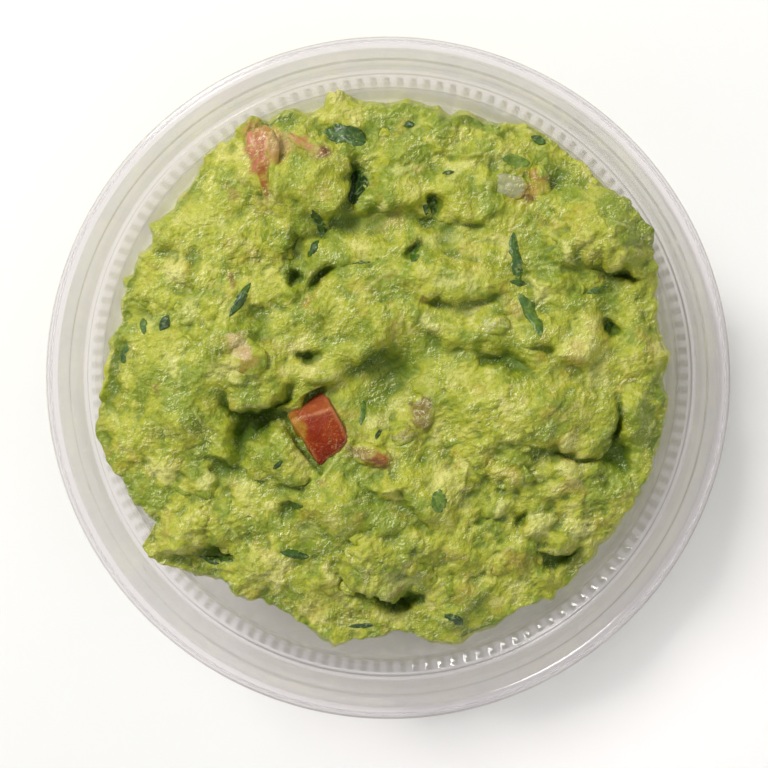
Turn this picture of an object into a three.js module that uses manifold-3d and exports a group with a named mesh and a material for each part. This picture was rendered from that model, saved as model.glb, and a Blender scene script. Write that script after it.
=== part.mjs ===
// Guacamole heaped in a round clear plastic tub.
// Millimetres, +Z up, origin at the middle of the tub's base.
import * as THREE from "three";
import { mergeVertices } from "three/addons/utils/BufferGeometryUtils.js";
import Module from "manifold-3d";

const wasm = await Module();
wasm.setup();

// ---------------------------------------------------------------- driving dimensions

const TUB = {
  rimRadius: 59, // outside of the lip
  rimZ: 43,
  lipInner: 56.5, // where the lip turns down into the wall
  skirtDrop: 2, // how far the lip's edge hangs down
  shoulderOuter: 52.6,
  shoulderInner: 50.3,
  shoulderZ: 33.6, // top of the ribbed shoulder
  shoulderFall: 1.5, // how much lower its inner edge lies
  baseRadius: 46.2,
  baseBevel: 1.4, // outside; the inside corner is bevelled by insideBevel
  insideBevel: 1.2,
  lipBevel: 0.4,
  lipTurn: 0.6, // how far the lip's inner edge is rounded
  step: 0.9, // height and width of the smooth step outside the ribs
  wall: 0.8,
  skinOut: 0.9, // from the inside of the slanted shoulder to its outside, outwards
  skinDown: 0.4, // and down
  segments: 60,
};
const GAP = 0.35; // between the food and the plastic, and round each topping

const HEAP = {
  edgeZ: 34, // level of the heap's outer edge
  crownZ: 40.6, // level of its middle
  roundness: 2.6, // power of the fall from the middle to the edge
  shoulder: 0.85, // under 1, the heap falls away late and steeply
  cells: 44, // cells across the heap
};
// How the forms below swell and fade: a lump or pit is fuller with a power under 1, a lump's height
// is multiplied by gain, and a pit's lip reaches past its ellipse by spread. A fold fades out over
// taper at each end of its line, and soft evens out how far along a bent line a place lies.
const LUMP = { power: 1.25, gain: 1.45 };
const PIT = { power: 1.2, spread: 1.3 };
const FOLD = { power: 1.5, taper: 0.3, soft: 0.2 };

// Layers of smooth noise, each with a hill or dip every size millimetres. WARP pushes the forms
// about sideways, so that none is a plain ellipse or line; RELIEF raises and lowers the paste.
const WARP = [
  { size: 5, amount: 1.5, seed: 11 },
  { size: 2.4, amount: 0.6, seed: 12 },
];
const WARP_ACROSS = 10; // added to the seeds for the push along Y
const RELIEF = [
  { size: 13, amount: 1.4, seed: 33 },
  { size: 7, amount: 1.2, seed: 31 },
  { size: 3.6, amount: 0.75, seed: 32 },
];

// The paste's side below its edge. Over the shoulder it stops clear of the ribs; inside them it
// goes almost straight down until it meets the slanted wall.
const SIDE = {
  ribClearance: 0.1,
  overRibs: 0.6, // least height of the paste's top over the shoulder
  toRibs: 1.2, // slope at which that limit falls away inside the shoulder
  undercut: 0.3, // fall of its upper end, for each millimetre between the edge and the wall
  drop: 0.6, // least height of the top's edge over that
  lean: 0.12, // how far it leans out lower down, as a share of the room to the wall
  footRise: 1.4, // height of its foot over the tub's floor, and least height of that meeting over it
  levels: 4, // rings of points under the edge
};

// The outline is drawn in the rim's plane. The edge lies lower and further from the eye, so it is
// spread and shifted by this much.
const EDGE_SPREAD = 1.025;
const EDGE_SHIFT = { x: -0.3, y: -0.6 };
const OUTLINE = [
  [48.0, -5.0], [46.9, -1.5], [47.6, 3.8], [46.4, 9.0], [45.1, 14.6], [46.0, 19.5],
  [45.4, 24.5], [43.6, 28.0], [39.5, 31.8], [34.6, 34.6], [30.6, 38.2], [26.5, 42.2],
  [23.0, 43.6], [18.6, 43.2], [15.0, 45.0], [10.6, 44.9], [7.8, 46.4], [2.0, 47.4],
  [-3.4, 46.5], [-6.0, 48.0], [-9.4, 48.8], [-10.6, 46.2], [-14.0, 45.4], [-18.0, 45.6],
  [-20.4, 44.0], [-22.9, 44.8], [-25.7, 41.2], [-30.4, 38.6], [-32.4, 35.2], [-36.4, 29.6],
  [-40.2, 26.6], [-39.6, 23.0], [-42.0, 19.4], [-44.6, 17.0], [-45.6, 10.0], [-47.6, 4.0],
  [-48.2, 0.0], [-50.2, -7.6], [-48.6, -13.6], [-45.4, -16.8], [-43.0, -21.0], [-39.8, -24.6],
  [-42.2, -28.6], [-39.0, -32.0], [-34.0, -33.2], [-28.0, -34.6], [-25.4, -37.4], [-21.4, -37.6],
  [-16.0, -41.4], [-9.0, -45.0], [-2.4, -44.8], [2.0, -43.2], [8.0, -44.6], [13.0, -45.2],
  [18.0, -42.0], [23.4, -38.4], [28.6, -37.0], [32.8, -33.4], [36.2, -28.4], [40.4, -23.6],
  [43.8, -18.0], [45.4, -12.6],
];

// Rounded lumps: [x, y, half length, half width, turn in degrees, height]
const LUMPS = [
  [-17.0, 35.5, 10.5, 9.0, 40, 3.0], // knob that carries the pink tomato
  [-27.5, 34.0, 5.5, 5.0, 60, 1.2],
  [-33.0, 27.0, 7.0, 5.0, 55, 1.1],
  [-36.5, 18.0, 3.6, 2.6, 20, 1.2],
  [-40.5, 15.0, 4.0, 3.0, 70, 1.0],
  [-26.0, 24.0, 8.0, 5.5, 35, 1.2],
  [-38.4, 24.6, 2.8, 1.8, 60, 1.2],
  [-32.5, 8.0, 12.5, 11.0, 90, 2.0], // broad left shoulder
  [-24.0, 3.5, 6.5, 5.4, 150, 1.0],
  [-11.8, 11.8, 3.6, 3.2, 0, 1.5],
  [-17.0, 16.0, 2.8, 1.6, 10, 1.4],
  [-43.0, 5.0, 4.0, 6.0, 0, 1.0],
  [11.4, 32.2, 3.6, 3.8, 60, 1.8], // smooth lobe beside the dark notch
  [17.5, 41.0, 5.0, 2.6, 10, 1.3],
  [3.0, 40.0, 7.0, 3.2, 5, 1.2],
  [9.0, 43.0, 2.6, 3.0, 0, 1.1],
  [36.8, 27.0, 10.0, 8.0, 155, 2.8], // large right lobe
  [31.0, 22.6, 2.6, 1.9, 130, 1.2],
  [26.6, 25.2, 1.8, 1.6, 0, 1.0],
  [26.6, 15.6, 3.1, 1.6, 120, 1.2],
  [30.4, 17.0, 2.4, 2.8, 100, 1.2],
  [12.5, 18.3, 9.5, 3.2, 10, 1.5], // roll over the long middle fold
  [33.6, 5.0, 3.6, 3.4, 30, 1.6],
  [34.5, 11.5, 3.4, 4.5, 160, 1.2],
  [43.4, 7.0, 3.2, 8.5, 5, 1.5], // roll along the right edge
  [-28.7, -8.8, 2.4, 1.9, 0, 1.8],
  [-27.8, -13.0, 3.2, 1.9, 170, 1.6],
  [-38.0, -7.0, 8.0, 7.0, 0, 1.4],
  [-45.0, -9.5, 4.0, 5.5, 0, 1.2],
  [-18.6, -12.6, 6.6, 4.4, 170, 2.6], // block below the cave
  [-39.6, -16.4, 3.9, 1.7, 155, 1.2],
  [-32.2, -18.2, 1.6, 2.3, 150, 1.2],
  [-38.6, -28.6, 4.4, 2.2, 10, 1.8], // pointed lobe over the gap
  [-29.0, -25.5, 8.0, 5.0, 25, 1.4],
  [-22.0, -33.0, 6.0, 4.5, 160, 1.2],
  [-9.5, -21.6, 7.4, 7.2, 0, 2.4], // round lobe
  [-0.8, -32.6, 7.6, 6.9, 160, 2.6], // large lower lobe
  [-13.5, -36.5, 5.0, 3.6, 160, 1.2],
  [-1.4, -7.0, 3.2, 2.6, 20, 1.3],
  [25.0, -5.0, 13.5, 8.2, 175, 2.2], // broad right centre
  [42.6, -6.6, 3.7, 6.0, 0, 2.0], // small lobe at the right edge
  [21.6, -15.2, 4.6, 3.2, 20, 1.5],
  [32.0, -16.6, 3.8, 3.4, 150, 1.7],
  [36.5, -15.6, 1.8, 1.9, 0, 1.2],
  [20.0, -22.2, 2.3, 2.0, 40, 1.4],
  [27.0, -25.4, 2.9, 2.1, 10, 1.8],
  [28.0, -20.4, 3.0, 2.4, 40, 1.0],
  [34.0, -25.4, 3.6, 2.2, 50, 1.2],
  [13.0, -30.8, 5.0, 4.2, 20, 1.3],
  [22.0, -31.4, 4.2, 3.2, 10, 1.4],
  [30.0, -28.2, 2.9, 2.0, 30, 1.4],
  [27.0, -35.4, 1.5, 2.4, 20, 1.5],
  [14.8, -37.6, 4.6, 3.0, 30, 1.4],
  [9.5, -19.0, 6.4, 5.4, 20, 1.1],
  [1.6, -17.6, 4.0, 3.2, 20, 1.0],
  [15.0, -12.0, 6.0, 3.6, 30, 0.9],
  [6.0, -27.4, 4.4, 3.4, 150, 1.0],
  [12.0, -42.2, 5.4, 2.8, 10, 1.1],
  [5.8, -35.6, 2.2, 2.4, 0, 1.1],
  [40.0, -19.4, 3.0, 3.6, 140, 1.0],
];

// Hollows and pits: [x, y, half length, half width, turn in degrees, depth]
const PITS = [
  [3.6, 2.6, 10.5, 6.6, 28, 2.0], // spoon hollow
  [5.0, -1.0, 6.0, 5.0, 0, 1.0],
  [-3.0, 26.0, 11.5, 4.4, 10, 3.0], // valley under the upper sweep
  [-22.0, -7.0, 5.2, 2.8, 170, 4.0], // cave under the left mass
  [-25.0, -11.5, 1.6, 4.6, 175, 2.8],
  [-28.2, -15.4, 3.9, 1.2, 155, 2.4],
  [-20.2, 11.8, 3.6, 2.0, 30, 2.2],
  [-13.5, 3.8, 1.15, 1.15, 0, 4.4], // round hole
  [-16.6, 18.6, 2.2, 1.2, 175, 4.4],
  [-11.2, 18.2, 3.0, 1.6, 35, 3.8],
  [-16.0, 23.2, 3.0, 2.2, 40, 1.6],
  [-5.4, 33.6, 2.3, 3.0, 0, 2.4],
  [7.4, 31.0, 1.3, 2.0, 155, 3.6],
  [4.7, 21.8, 1.5, 2.3, 150, 3.2],
  [8.0, 14.0, 3.0, 1.0, 178, 1.6],
  [19.8, 2.4, 4.4, 1.5, 178, 2.6],
  [27.2, 5.4, 3.6, 1.0, 175, 1.8],
  [39.0, 9.4, 1.4, 1.8, 20, 3.0],
  [42.0, 18.2, 2.8, 1.1, 175, 2.6],
  [29.2, 34.6, 1.2, 2.3, 150, 2.0],
  [40.4, -13.4, 1.7, 3.0, 30, 2.6],
  [39.1, -6.5, 1.1, 6.0, 2, 2.4],
  [-16.6, -22.8, 1.4, 1.5, 0, 2.6],
  [2.6, -39.4, 4.9, 1.6, 172, 3.8], // cave under the large lower lobe
  [29.4, -32.4, 3.6, 2.2, 15, 3.0],
  [17.9, -25.2, 1.3, 1.1, 0, 2.4],
  [21.4, -24.9, 3.6, 0.9, 2, 2.0],
  [24.2, -24.9, 1.2, 2.2, 150, 2.8],
  [27.2, -27.9, 2.0, 0.9, 178, 1.8],
  [28.2, -21.8, 1.2, 1.3, 0, 2.2],
  [37.4, -17.8, 1.2, 1.5, 30, 2.0],
  [-31.0, -32.0, 3.4, 1.4, 170, 2.2],
  [25.6, -14.6, 1.0, 2.6, 170, 1.5],
  [16.4, -20.4, 1.8, 1.1, 20, 1.5],
  [-37.6, 22.0, 2.0, 1.1, 30, 1.4],
];

// Folds left by the spoon. Walking along the line, the paste on the left stands higher by lift and
// slopes away over reach; on the right it drops and comes back over fall. The step between them is
// twice edge wide.
const FOLDS = [
  { name: "left overhang", edge: 0.7, lift: 2.2, drop: 3.6, reach: 9, fall: 3.4,
    line: [[-31, -3], [-27.5, -3.6], [-24.5, -4.8], [-21, -4.2], [-17.5, -2.4], [-15, -1.4]] },
  { name: "main ridge", edge: 1.7, lift: 2.6, drop: 2.1, reach: 6, fall: 7,
    line: [[-17.5, -2.6], [-9.2, 0.6], [-4.8, 3.8], [-1, 7.2], [2.4, 9.4]] },
  { name: "upper sweep", edge: 1.5, lift: 1.4, drop: 1.8, reach: 5, fall: 5,
    line: [[-9, 29.6], [-1.4, 30.4], [3.6, 31.6], [8.4, 33.6]] },
  { name: "curl left of the valley", edge: 1.3, lift: 1.2, drop: 2.0, reach: 4, fall: 4.5,
    line: [[-20.6, 18.4], [-18.4, 22.8], [-16.2, 25.8], [-12.6, 28.2]] },
  { name: "valley foot", edge: 1.4, lift: 1.0, drop: 2.0, reach: 4, fall: 4,
    line: [[-15.4, 20.0], [-10.6, 20.2], [-6.6, 21.3], [-2.6, 21.8], [2.2, 23.4], [6.4, 25.0]] },
  { name: "upper right", edge: 1.5, lift: 1.4, drop: 1.6, reach: 5, fall: 4,
    line: [[2, 29.0], [8, 28.7], [14, 28.4], [20, 27.2]] },
  { name: "long middle", edge: 1.2, lift: 1.6, drop: 1.9, reach: 5, fall: 4,
    line: [[3.6, 14.8], [9.6, 14.3], [14, 15.2], [18, 15.8], [22.6, 17]] },
  { name: "right curve", edge: 1.2, lift: 1.9, drop: 1.9, reach: 4, fall: 4.6,
    line: [[4, 10.4], [9, 8.2], [14.6, 5.8], [19.6, 5.3], [23.2, 4.6], [26.6, 1.6], [30.2, -1.6]] },
  { name: "right small", edge: 1.2, lift: 0.9, drop: 1.3, reach: 3.4, fall: 3,
    line: [[22, 7.4], [27, 5.9], [32, 6.2]] },
  { name: "knob side", edge: 1.8, lift: 2.0, drop: 3.0, reach: 5, fall: 6,
    line: [[-12.6, 22.6], [-11.8, 27], [-10, 30.4], [-7.6, 33.6], [-7.8, 36.6], [-7.2, 40.6]] },
  { name: "under the right lobe", edge: 1.2, lift: 1.6, drop: 2.2, reach: 5, fall: 4,
    line: [[29, 21.8], [36, 20.4], [40, 19.2], [43.4, 18.8], [46, 17.4]] },
  { name: "under the block", edge: 1.0, lift: 1.4, drop: 1.6, reach: 4, fall: 3,
    line: [[-26.4, -16.8], [-19.6, -17.1], [-15, -17.4], [-11, -15.4]] },
  { name: "over the large lobe", edge: 1.2, lift: 1.2, drop: 0.8, reach: 4, fall: 3,
    line: [[-10, -29.4], [-5, -27.3], [-1.4, -25.6], [4, -25.2]] },
  { name: "under the large lobe", edge: 1.0, lift: 1.6, drop: 3.2, reach: 5, fall: 3.6,
    line: [[-9.4, -34.0], [-5, -36.1], [-1, -37.6], [2.4, -38.6], [5.6, -36.6]] },
  { name: "under the right centre", edge: 1.0, lift: 1.6, drop: 2.4, reach: 5, fall: 4,
    line: [[23.4, -12], [28, -10.6], [31, -12], [34, -13.4], [36.8, -13], [38.8, -9.6], [39.4, -2]] },
  { name: "lower right hollow", edge: 1.0, lift: 1.2, drop: 2.4, reach: 3.6, fall: 3.6,
    line: [[24.6, -29], [28.6, -29.9], [31.4, -30.7], [34.4, -28.6]] },
  { name: "under the pointed lobe", edge: 1.0, lift: 1.2, drop: 1.8, reach: 4, fall: 3.4,
    line: [[-39.6, -30.6], [-34.6, -30.6], [-27, -31.4]] },
  { name: "down the left shoulder", edge: 1.8, lift: 0.9, drop: 1.2, reach: 5, fall: 5,
    line: [[-38, 21], [-33, 16], [-29.4, 8], [-29, 0]] },
  { name: "from the amber piece to the lower lobes", edge: 1.4, lift: 1.0, drop: 1.3, reach: 4, fall: 4,
    line: [[-8, -15.4], [-3, -17.6], [3, -18.2], [8, -24], [9.4, -31]] },
  { name: "between the upper right lumps", edge: 1.5, lift: 1.3, drop: 1.5, reach: 4.6, fall: 4.6,
    line: [[21.6, 25.6], [25.2, 20.2], [28.4, 13.6], [29.6, 8.6]] },
];

// Herb leaves pressed into the top: [x, y, half length, half width, turn in degrees, lift]
const LEAVES = [
  [-7.2, 42.6, 4.2, 2.4, 165, 0.5],
  [-5.4, 33.8, 3.0, 2.4, 80, 0.5],
  [-12.5, 27.2, 2.9, 0.9, 105, 0.6],
  [-25.4, 14.0, 3.6, 1.1, 58, 0.6],
  [22.3, 21.2, 4.6, 1.4, 97, 0.6],
  [24.8, 11.6, 4.4, 1.8, 118, 0.5],
  [22.6, 37.8, 3.4, 1.9, 170, 0.5],
  [-38.8, 9.8, 1.8, 1.2, 60, 0.5],
  [-46.6, 4.0, 2.0, 1.0, 75, 0.5],
  [-30.6, -31.6, 3.6, 1.5, 172, 0.5],
  [-16.2, -30.8, 2.9, 1.5, 170, 0.5],
  [11.6, -42.6, 2.2, 1.5, 150, 0.5],
  [9.2, -20.8, 1.6, 2.6, 15, 0.5],
];
const LEAF = {
  thick: 0.55,
  rows: 5, // cells along
  columns: 2, // cells across
  tip: 0.35, // width at the tips, as a share of the middle's
  lobes: 5, // waves of its outline, and how deep they are
  lobeDepth: 0.18,
  waves: 7.2, // waves of its face along and across, and how high they are
  wavesAcross: 3,
  waveHeight: 0.22,
  sink: 0.55, // how much of its lift stays above the paste
};

// Paler avocado lumps in the mash: [x, y, half length, half width, turn in degrees, rise]
const CHUNKS = [
  [-37.6, 18.4, 2.0, 1.5, 20, 0.9],
  [-39.8, -16.4, 3.6, 1.4, 155, 0.8],
  [-32.3, -18.2, 1.4, 2.1, 150, 0.9],
  [31.0, 22.8, 2.4, 1.3, 130, 0.8],
  [26.6, 15.4, 2.9, 1.3, 120, 0.8],
  [20.2, -22.8, 2.2, 1.4, 50, 0.9],
  [27.2, -25.2, 2.6, 1.7, 5, 1.0],
  [31.6, -15.4, 2.0, 1.8, 0, 1.0],
  [33.0, -18.0, 1.9, 1.6, 30, 0.9],
  [34.0, -26.4, 2.4, 1.4, 50, 0.9],
  [29.4, -30.2, 1.6, 1.2, 20, 0.8],
  [-1.8, -7.0, 2.2, 1.7, 20, 0.9],
];
const CHUNK = { half: 1.4, sink: 1.0, square: 2.4 }; // half thickness, depth in the paste, squareness

// Vegetable pieces that lie in the top, each its own solid: middle, half sizes along, across and
// through, turn in degrees, rise of the middle over the paste, squareness (2 is an ellipsoid, more
// is boxier), taper (how much wider the far end is), and how finely the ball it starts from is cut.
const PIECES = {
  tomato_rose: {
    at: [-21, 37.8], half: [5.8, 2.5, 1.9], turn: 98, rise: 0.1, square: 2.6, taper: 0.35, cut: 2,
  },
  tomato_skin: { at: [-13.2, 40.4], half: [4.6, 1.3, 1.1], turn: 147, rise: 0.25, square: 3 },
  onion_grey: { at: [20.9, 33.5], half: [3.3, 2.1, 1.5], turn: 172, rise: 0.2, square: 3.2, cut: 2 },
  tomato_brown: { at: [26.4, 34.2], half: [3, 1.7, 1.6], turn: 100, rise: 0.2, square: 2.8 },
  onion_tan: {
    at: [-24, 4.2], half: [3.6, 3, 1.7], turn: 150, rise: 0.1, square: 2.4, taper: 0.1, cut: 2,
  },
  onion_clear: { at: [18.7, 9.8], half: [2.5, 1.7, 1.2], turn: 15, rise: 0.15, square: 2.4 },
  onion_glossy: {
    at: [6.3, -5.4], half: [3.1, 2, 1.5], turn: 80, rise: 0.1, square: 2.6, taper: 0.1,
  },
  onion_small: { at: [2.9, -9.6], half: [2, 1.4, 1.2], turn: 35, rise: 0.1, square: 2.4 },
  tomato_amber: {
    at: [-2.6, -12.9], half: [3.4, 1.9, 1.6], turn: 165, rise: 0.15, square: 2.6, taper: 0.1,
  },
};
const PIECE_ROUGH = { amount: 0.07, along: 7, up: 3, size: 2.6, seed: 41 }; // unevenness of a piece

// The cut tomato cube leans in the cave's mouth: the corners of its upper face, and under each of
// them the corner of its lower face. Its faces stand full by bulge.
const CUBE = {
  upper: [[-9.2, -4.4, 42.6], [-16.6, -6.8, 41.8], [-11.4, -15.2, 41.0], [-6.4, -10.4, 42.0]],
  lower: [[-11.6, -1.6, 36.6], [-18.0, -6.2, 36.2], [-13.4, -13.2, 33.4], [-7.6, -8.0, 34.0]],
  bulge: 0.35,
  cells: 3,
  cornerReach: 1.5, // how much further its corners move than its faces, to grow it by a gap
};

// ---------------------------------------------------------------- numbers

const smooth = (from, to, t) => {
  const u = Math.min(1, Math.max(0, (t - from) / (to - from)));
  return u * u * (3 - 2 * u);
};

// A repeatable number from 0 to 1 for each corner of a square grid.
function hash(i, j, seed) {
  let h = Math.imul(i, 374761393) ^ Math.imul(j, 668265263) ^ Math.imul(seed, 2246822519);
  h = Math.imul(h ^ (h >>> 13), 1274126177);
  h ^= h >>> 16;
  return (h >>> 0) / 4294967296;
}

// Smooth noise from -1 to 1, with one hill or dip every size millimetres.
function noise(x, y, size, seed) {
  const u = x / size;
  const v = y / size;
  const i = Math.floor(u);
  const j = Math.floor(v);
  const a = smooth(0, 1, u - i);
  const b = smooth(0, 1, v - j);
  const low = hash(i, j, seed) * (1 - a) + hash(i + 1, j, seed) * a;
  const high = hash(i, j + 1, seed) * (1 - a) + hash(i + 1, j + 1, seed) * a;
  return 2 * (low * (1 - b) + high * b) - 1;
}

function layered(x, y, layers, seedShift = 0) {
  return layers.reduce(
    (sum, { size, amount, seed }) => sum + amount * noise(x, y, size, seed + seedShift),
    0,
  );
}

// How far (x, y) lies from an ellipse's middle: 0 there, 1 on its edge.
function inEllipse(x, y, cx, cy, long, wide, turn) {
  const c = Math.cos(THREE.MathUtils.degToRad(turn));
  const s = Math.sin(THREE.MathUtils.degToRad(turn));
  const u = (x - cx) * c + (y - cy) * s;
  const v = (y - cy) * c - (x - cx) * s;
  return (u / long) ** 2 + (v / wide) ** 2;
}

// Signed distance to a line, positive on its left, and how far along it that lies, 0 to 1. The
// latter is a mean over the line's stretches in which the near ones weigh most.
const NEAREST_ONLY = 8;
function alongLine(x, y, line) {
  let best = Infinity;
  let side = 1;
  let walked = 0;
  let at = 0;
  let total = 0;
  for (let i = 0; i + 1 < line.length; i++) {
    const [ax, ay] = line[i];
    const dx = line[i + 1][0] - ax;
    const dy = line[i + 1][1] - ay;
    const length = Math.hypot(dx, dy);
    const t = Math.min(1, Math.max(0, ((x - ax) * dx + (y - ay) * dy) / length ** 2));
    const d = Math.hypot(x - ax - t * dx, y - ay - t * dy);
    if (d < best) {
      best = d;
      side = dx * (y - ay) - dy * (x - ax) < 0 ? -1 : 1;
    }
    const nearness = (d + FOLD.soft) ** -NEAREST_ONLY;
    at += nearness * (walked + t * length);
    total += nearness;
    walked += length;
  }
  return { distance: side * best, along: at / (total * walked) };
}

// ---------------------------------------------------------------- the heap's form

const edgePoints = OUTLINE.map(([x, y]) => {
  const ex = (x + EDGE_SHIFT.x) * EDGE_SPREAD;
  const ey = (y + EDGE_SHIFT.y) * EDGE_SPREAD;
  return { angle: Math.atan2(ey, ex), radius: Math.hypot(ex, ey) };
}).sort((a, b) => a.angle - b.angle);

// The heap's outer radius in a direction.
function edgeRadius(angle) {
  const n = edgePoints.length;
  let k = edgePoints.findIndex((p) => p.angle > angle);
  if (k < 0) k = 0;
  const before = edgePoints[(k + n - 1) % n];
  const after = edgePoints[k];
  const turn = 2 * Math.PI;
  const span = (after.angle - before.angle + turn) % turn;
  const t = ((angle - before.angle + turn) % turn) / span;
  return before.radius + (after.radius - before.radius) * t;
}

function surfaceZ(x, y) {
  const reach = Math.min(1, Math.hypot(x, y) / edgeRadius(Math.atan2(y, x)));
  const dome = (1 - reach ** HEAP.roundness) ** HEAP.shoulder;
  let z = HEAP.edgeZ + (HEAP.crownZ - HEAP.edgeZ) * dome;
  const wx = x + layered(x, y, WARP);
  const wy = y + layered(x, y, WARP, WARP_ACROSS);
  for (const [cx, cy, long, wide, turn, height] of LUMPS) {
    const inside = 1 - inEllipse(wx, wy, cx, cy, long, wide, turn);
    z += LUMP.gain * height * Math.max(0, inside) ** LUMP.power;
  }
  for (const [cx, cy, long, wide, turn, depth] of PITS) {
    const inside = 1 - inEllipse(wx, wy, cx, cy, long, wide, turn) / PIT.spread;
    z -= depth * Math.max(0, inside) ** PIT.power;
  }
  for (const { line, edge, lift, drop, reach: back, fall } of FOLDS) {
    const { distance, along } = alongLine(wx, wy, line);
    const taper = smooth(0, FOLD.taper, along) * smooth(0, FOLD.taper, 1 - along);
    const high = lift * Math.exp(-((Math.max(0, distance) / back) ** FOLD.power));
    const low = -drop * Math.exp(-((Math.max(0, -distance) / fall) ** FOLD.power));
    const step = smooth(-edge, edge, distance);
    z += taper * (step * high + (1 - step) * low);
  }
  const inside = Math.max(0, TUB.shoulderInner - Math.hypot(x, y));
  const least = TUB.shoulderZ + SIDE.overRibs - SIDE.toRibs * inside;
  return Math.max(least, z + layered(x, y, RELIEF));
}

// ---------------------------------------------------------------- the tub

// The inside of the tub, from the base's middle up to the lip: [radius, z]
const shoulderLow = TUB.shoulderZ - TUB.shoulderFall;
const insideWall = [
  [TUB.baseRadius - TUB.wall - TUB.insideBevel, TUB.wall],
  [TUB.baseRadius - TUB.wall, TUB.wall + TUB.insideBevel],
  [TUB.shoulderInner, shoulderLow],
  [TUB.shoulderOuter, TUB.shoulderZ],
  [TUB.shoulderOuter + TUB.step / 3, TUB.shoulderZ + (TUB.step * 2) / 3],
  [TUB.shoulderOuter + TUB.step, TUB.shoulderZ + TUB.step],
  [TUB.lipInner, TUB.rimZ - TUB.lipTurn],
  [TUB.lipInner + TUB.lipTurn, TUB.rimZ],
];
const lipUnder = TUB.rimZ - TUB.wall;
const skin = ([radius, z]) => [radius + TUB.skinOut, z - TUB.skinDown];
const outsideWall = [
  [TUB.rimRadius - TUB.lipBevel, TUB.rimZ],
  [TUB.rimRadius, TUB.rimZ - TUB.lipBevel],
  [TUB.rimRadius, TUB.rimZ - TUB.skirtDrop],
  [TUB.rimRadius - TUB.wall, TUB.rimZ - TUB.skirtDrop],
  [TUB.rimRadius - TUB.wall, lipUnder],
  [TUB.lipInner + TUB.wall, lipUnder],
  skin([TUB.shoulderOuter + TUB.step, TUB.shoulderZ + TUB.step]),
  skin([TUB.shoulderOuter, TUB.shoulderZ]),
  skin([TUB.shoulderInner, shoulderLow]),
  [TUB.baseRadius, TUB.baseBevel],
  [TUB.baseRadius - TUB.baseBevel, 0],
];

// The inside radius of the tub at a height, and the inside height at a radius on the shoulder and
// on the slanted wall below it.
function insideRadius(z) {
  for (let i = 0; i + 1 < insideWall.length; i++) {
    const [r0, z0] = insideWall[i];
    const [r1, z1] = insideWall[i + 1];
    if (z <= z1) return r0 + ((r1 - r0) * Math.max(0, z - z0)) / (z1 - z0);
  }
  return TUB.lipInner;
}
const shoulderHeight = (radius) =>
  shoulderLow +
  (TUB.shoulderFall * (radius - TUB.shoulderInner)) / (TUB.shoulderOuter - TUB.shoulderInner);
const wallHeight = (radius) => {
  const [[r0, z0], [r1, z1]] = insideWall.slice(1, 3);
  return z0 + ((z1 - z0) * (radius - r0)) / (r1 - r0);
};

function tubGeometry() {
  const up = outsideWall.slice().reverse();
  const down = insideWall.slice().reverse();
  const profile = [[0, 0], ...up, ...down, [0, TUB.wall]];
  const points = profile.map(([r, z]) => new THREE.Vector2(r, z));
  return new THREE.LatheGeometry(points, TUB.segments).rotateX(Math.PI / 2);
}

// ---------------------------------------------------------------- solids

const MERGE = 1e-4; // vertices closer than this are one

function geometryOf(positions, index) {
  const g = new THREE.BufferGeometry();
  g.setAttribute("position", new THREE.Float32BufferAttribute(positions, 3));
  g.setIndex(index);
  return g;
}

function solid(geometry) {
  const plain = geometry.clone();
  plain.deleteAttribute("normal");
  plain.deleteAttribute("uv");
  const merged = mergeVertices(plain, MERGE);
  return new wasm.Manifold(
    new wasm.Mesh({
      numProp: 3,
      vertProperties: merged.attributes.position.array,
      triVerts: new Uint32Array(merged.index.array),
    }),
  );
}

function fromSolid(made) {
  const mesh = made.getMesh();
  const g = new THREE.BufferGeometry();
  g.setAttribute("position", new THREE.BufferAttribute(mesh.vertProperties, 3));
  g.setIndex(new THREE.BufferAttribute(mesh.triVerts, 1));
  g.computeVertexNormals();
  return g;
}

// The heap from edge to edge as a grid that is square in the middle and round at its edge, closed
// by rings that follow the tub down and by a flat base.
function heapGeometry() {
  const n = HEAP.cells;
  const positions = [];
  const index = [];
  const at = (i, j) => i * (n + 1) + j;
  for (let i = 0; i <= n; i++) {
    for (let j = 0; j <= n; j++) {
      const a = (2 * i) / n - 1;
      const b = (2 * j) / n - 1;
      let r = 0;
      let angle = 0;
      if (Math.abs(a) > Math.abs(b)) {
        r = a;
        angle = ((Math.PI / 4) * b) / a;
      } else if (b !== 0) {
        r = b;
        angle = Math.PI / 2 - ((Math.PI / 4) * a) / b;
      }
      const x = r * Math.cos(angle);
      const y = r * Math.sin(angle);
      const spread = edgeRadius(Math.atan2(y, x));
      positions.push(x * spread, y * spread, surfaceZ(x * spread, y * spread));
    }
  }
  for (let i = 0; i < n; i++) {
    for (let j = 0; j < n; j++) {
      const [p, q, r, s] = [at(i, j), at(i + 1, j), at(i + 1, j + 1), at(i, j + 1)];
      if ((i < n / 2) === (j < n / 2)) index.push(p, q, r, p, r, s);
      else index.push(p, q, s, q, r, s);
    }
  }
  const edge = [];
  for (let k = 0; k < n; k++) edge.push(at(k, 0));
  for (let k = 0; k < n; k++) edge.push(at(n, k));
  for (let k = n; k > 0; k--) edge.push(at(k, n));
  for (let k = n; k > 0; k--) edge.push(at(0, k));
  let above = edge;
  for (let level = 0; level < SIDE.levels; level++) {
    const ring = edge.map((v) => {
      const angle = Math.atan2(positions[3 * v + 1], positions[3 * v]);
      const [radius, z] = sideProfile(edgeRadius(angle), positions[3 * v + 2])[level];
      positions.push(radius * Math.cos(angle), radius * Math.sin(angle), z);
      return positions.length / 3 - 1;
    });
    joinRings(index, above, ring);
    above = ring;
  }
  positions.push(0, 0, TUB.wall + GAP);
  const centre = positions.length / 3 - 1;
  above.forEach((v, k) => index.push(v, centre, above[(k + 1) % above.length]));
  return geometryOf(positions, index);
}

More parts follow.
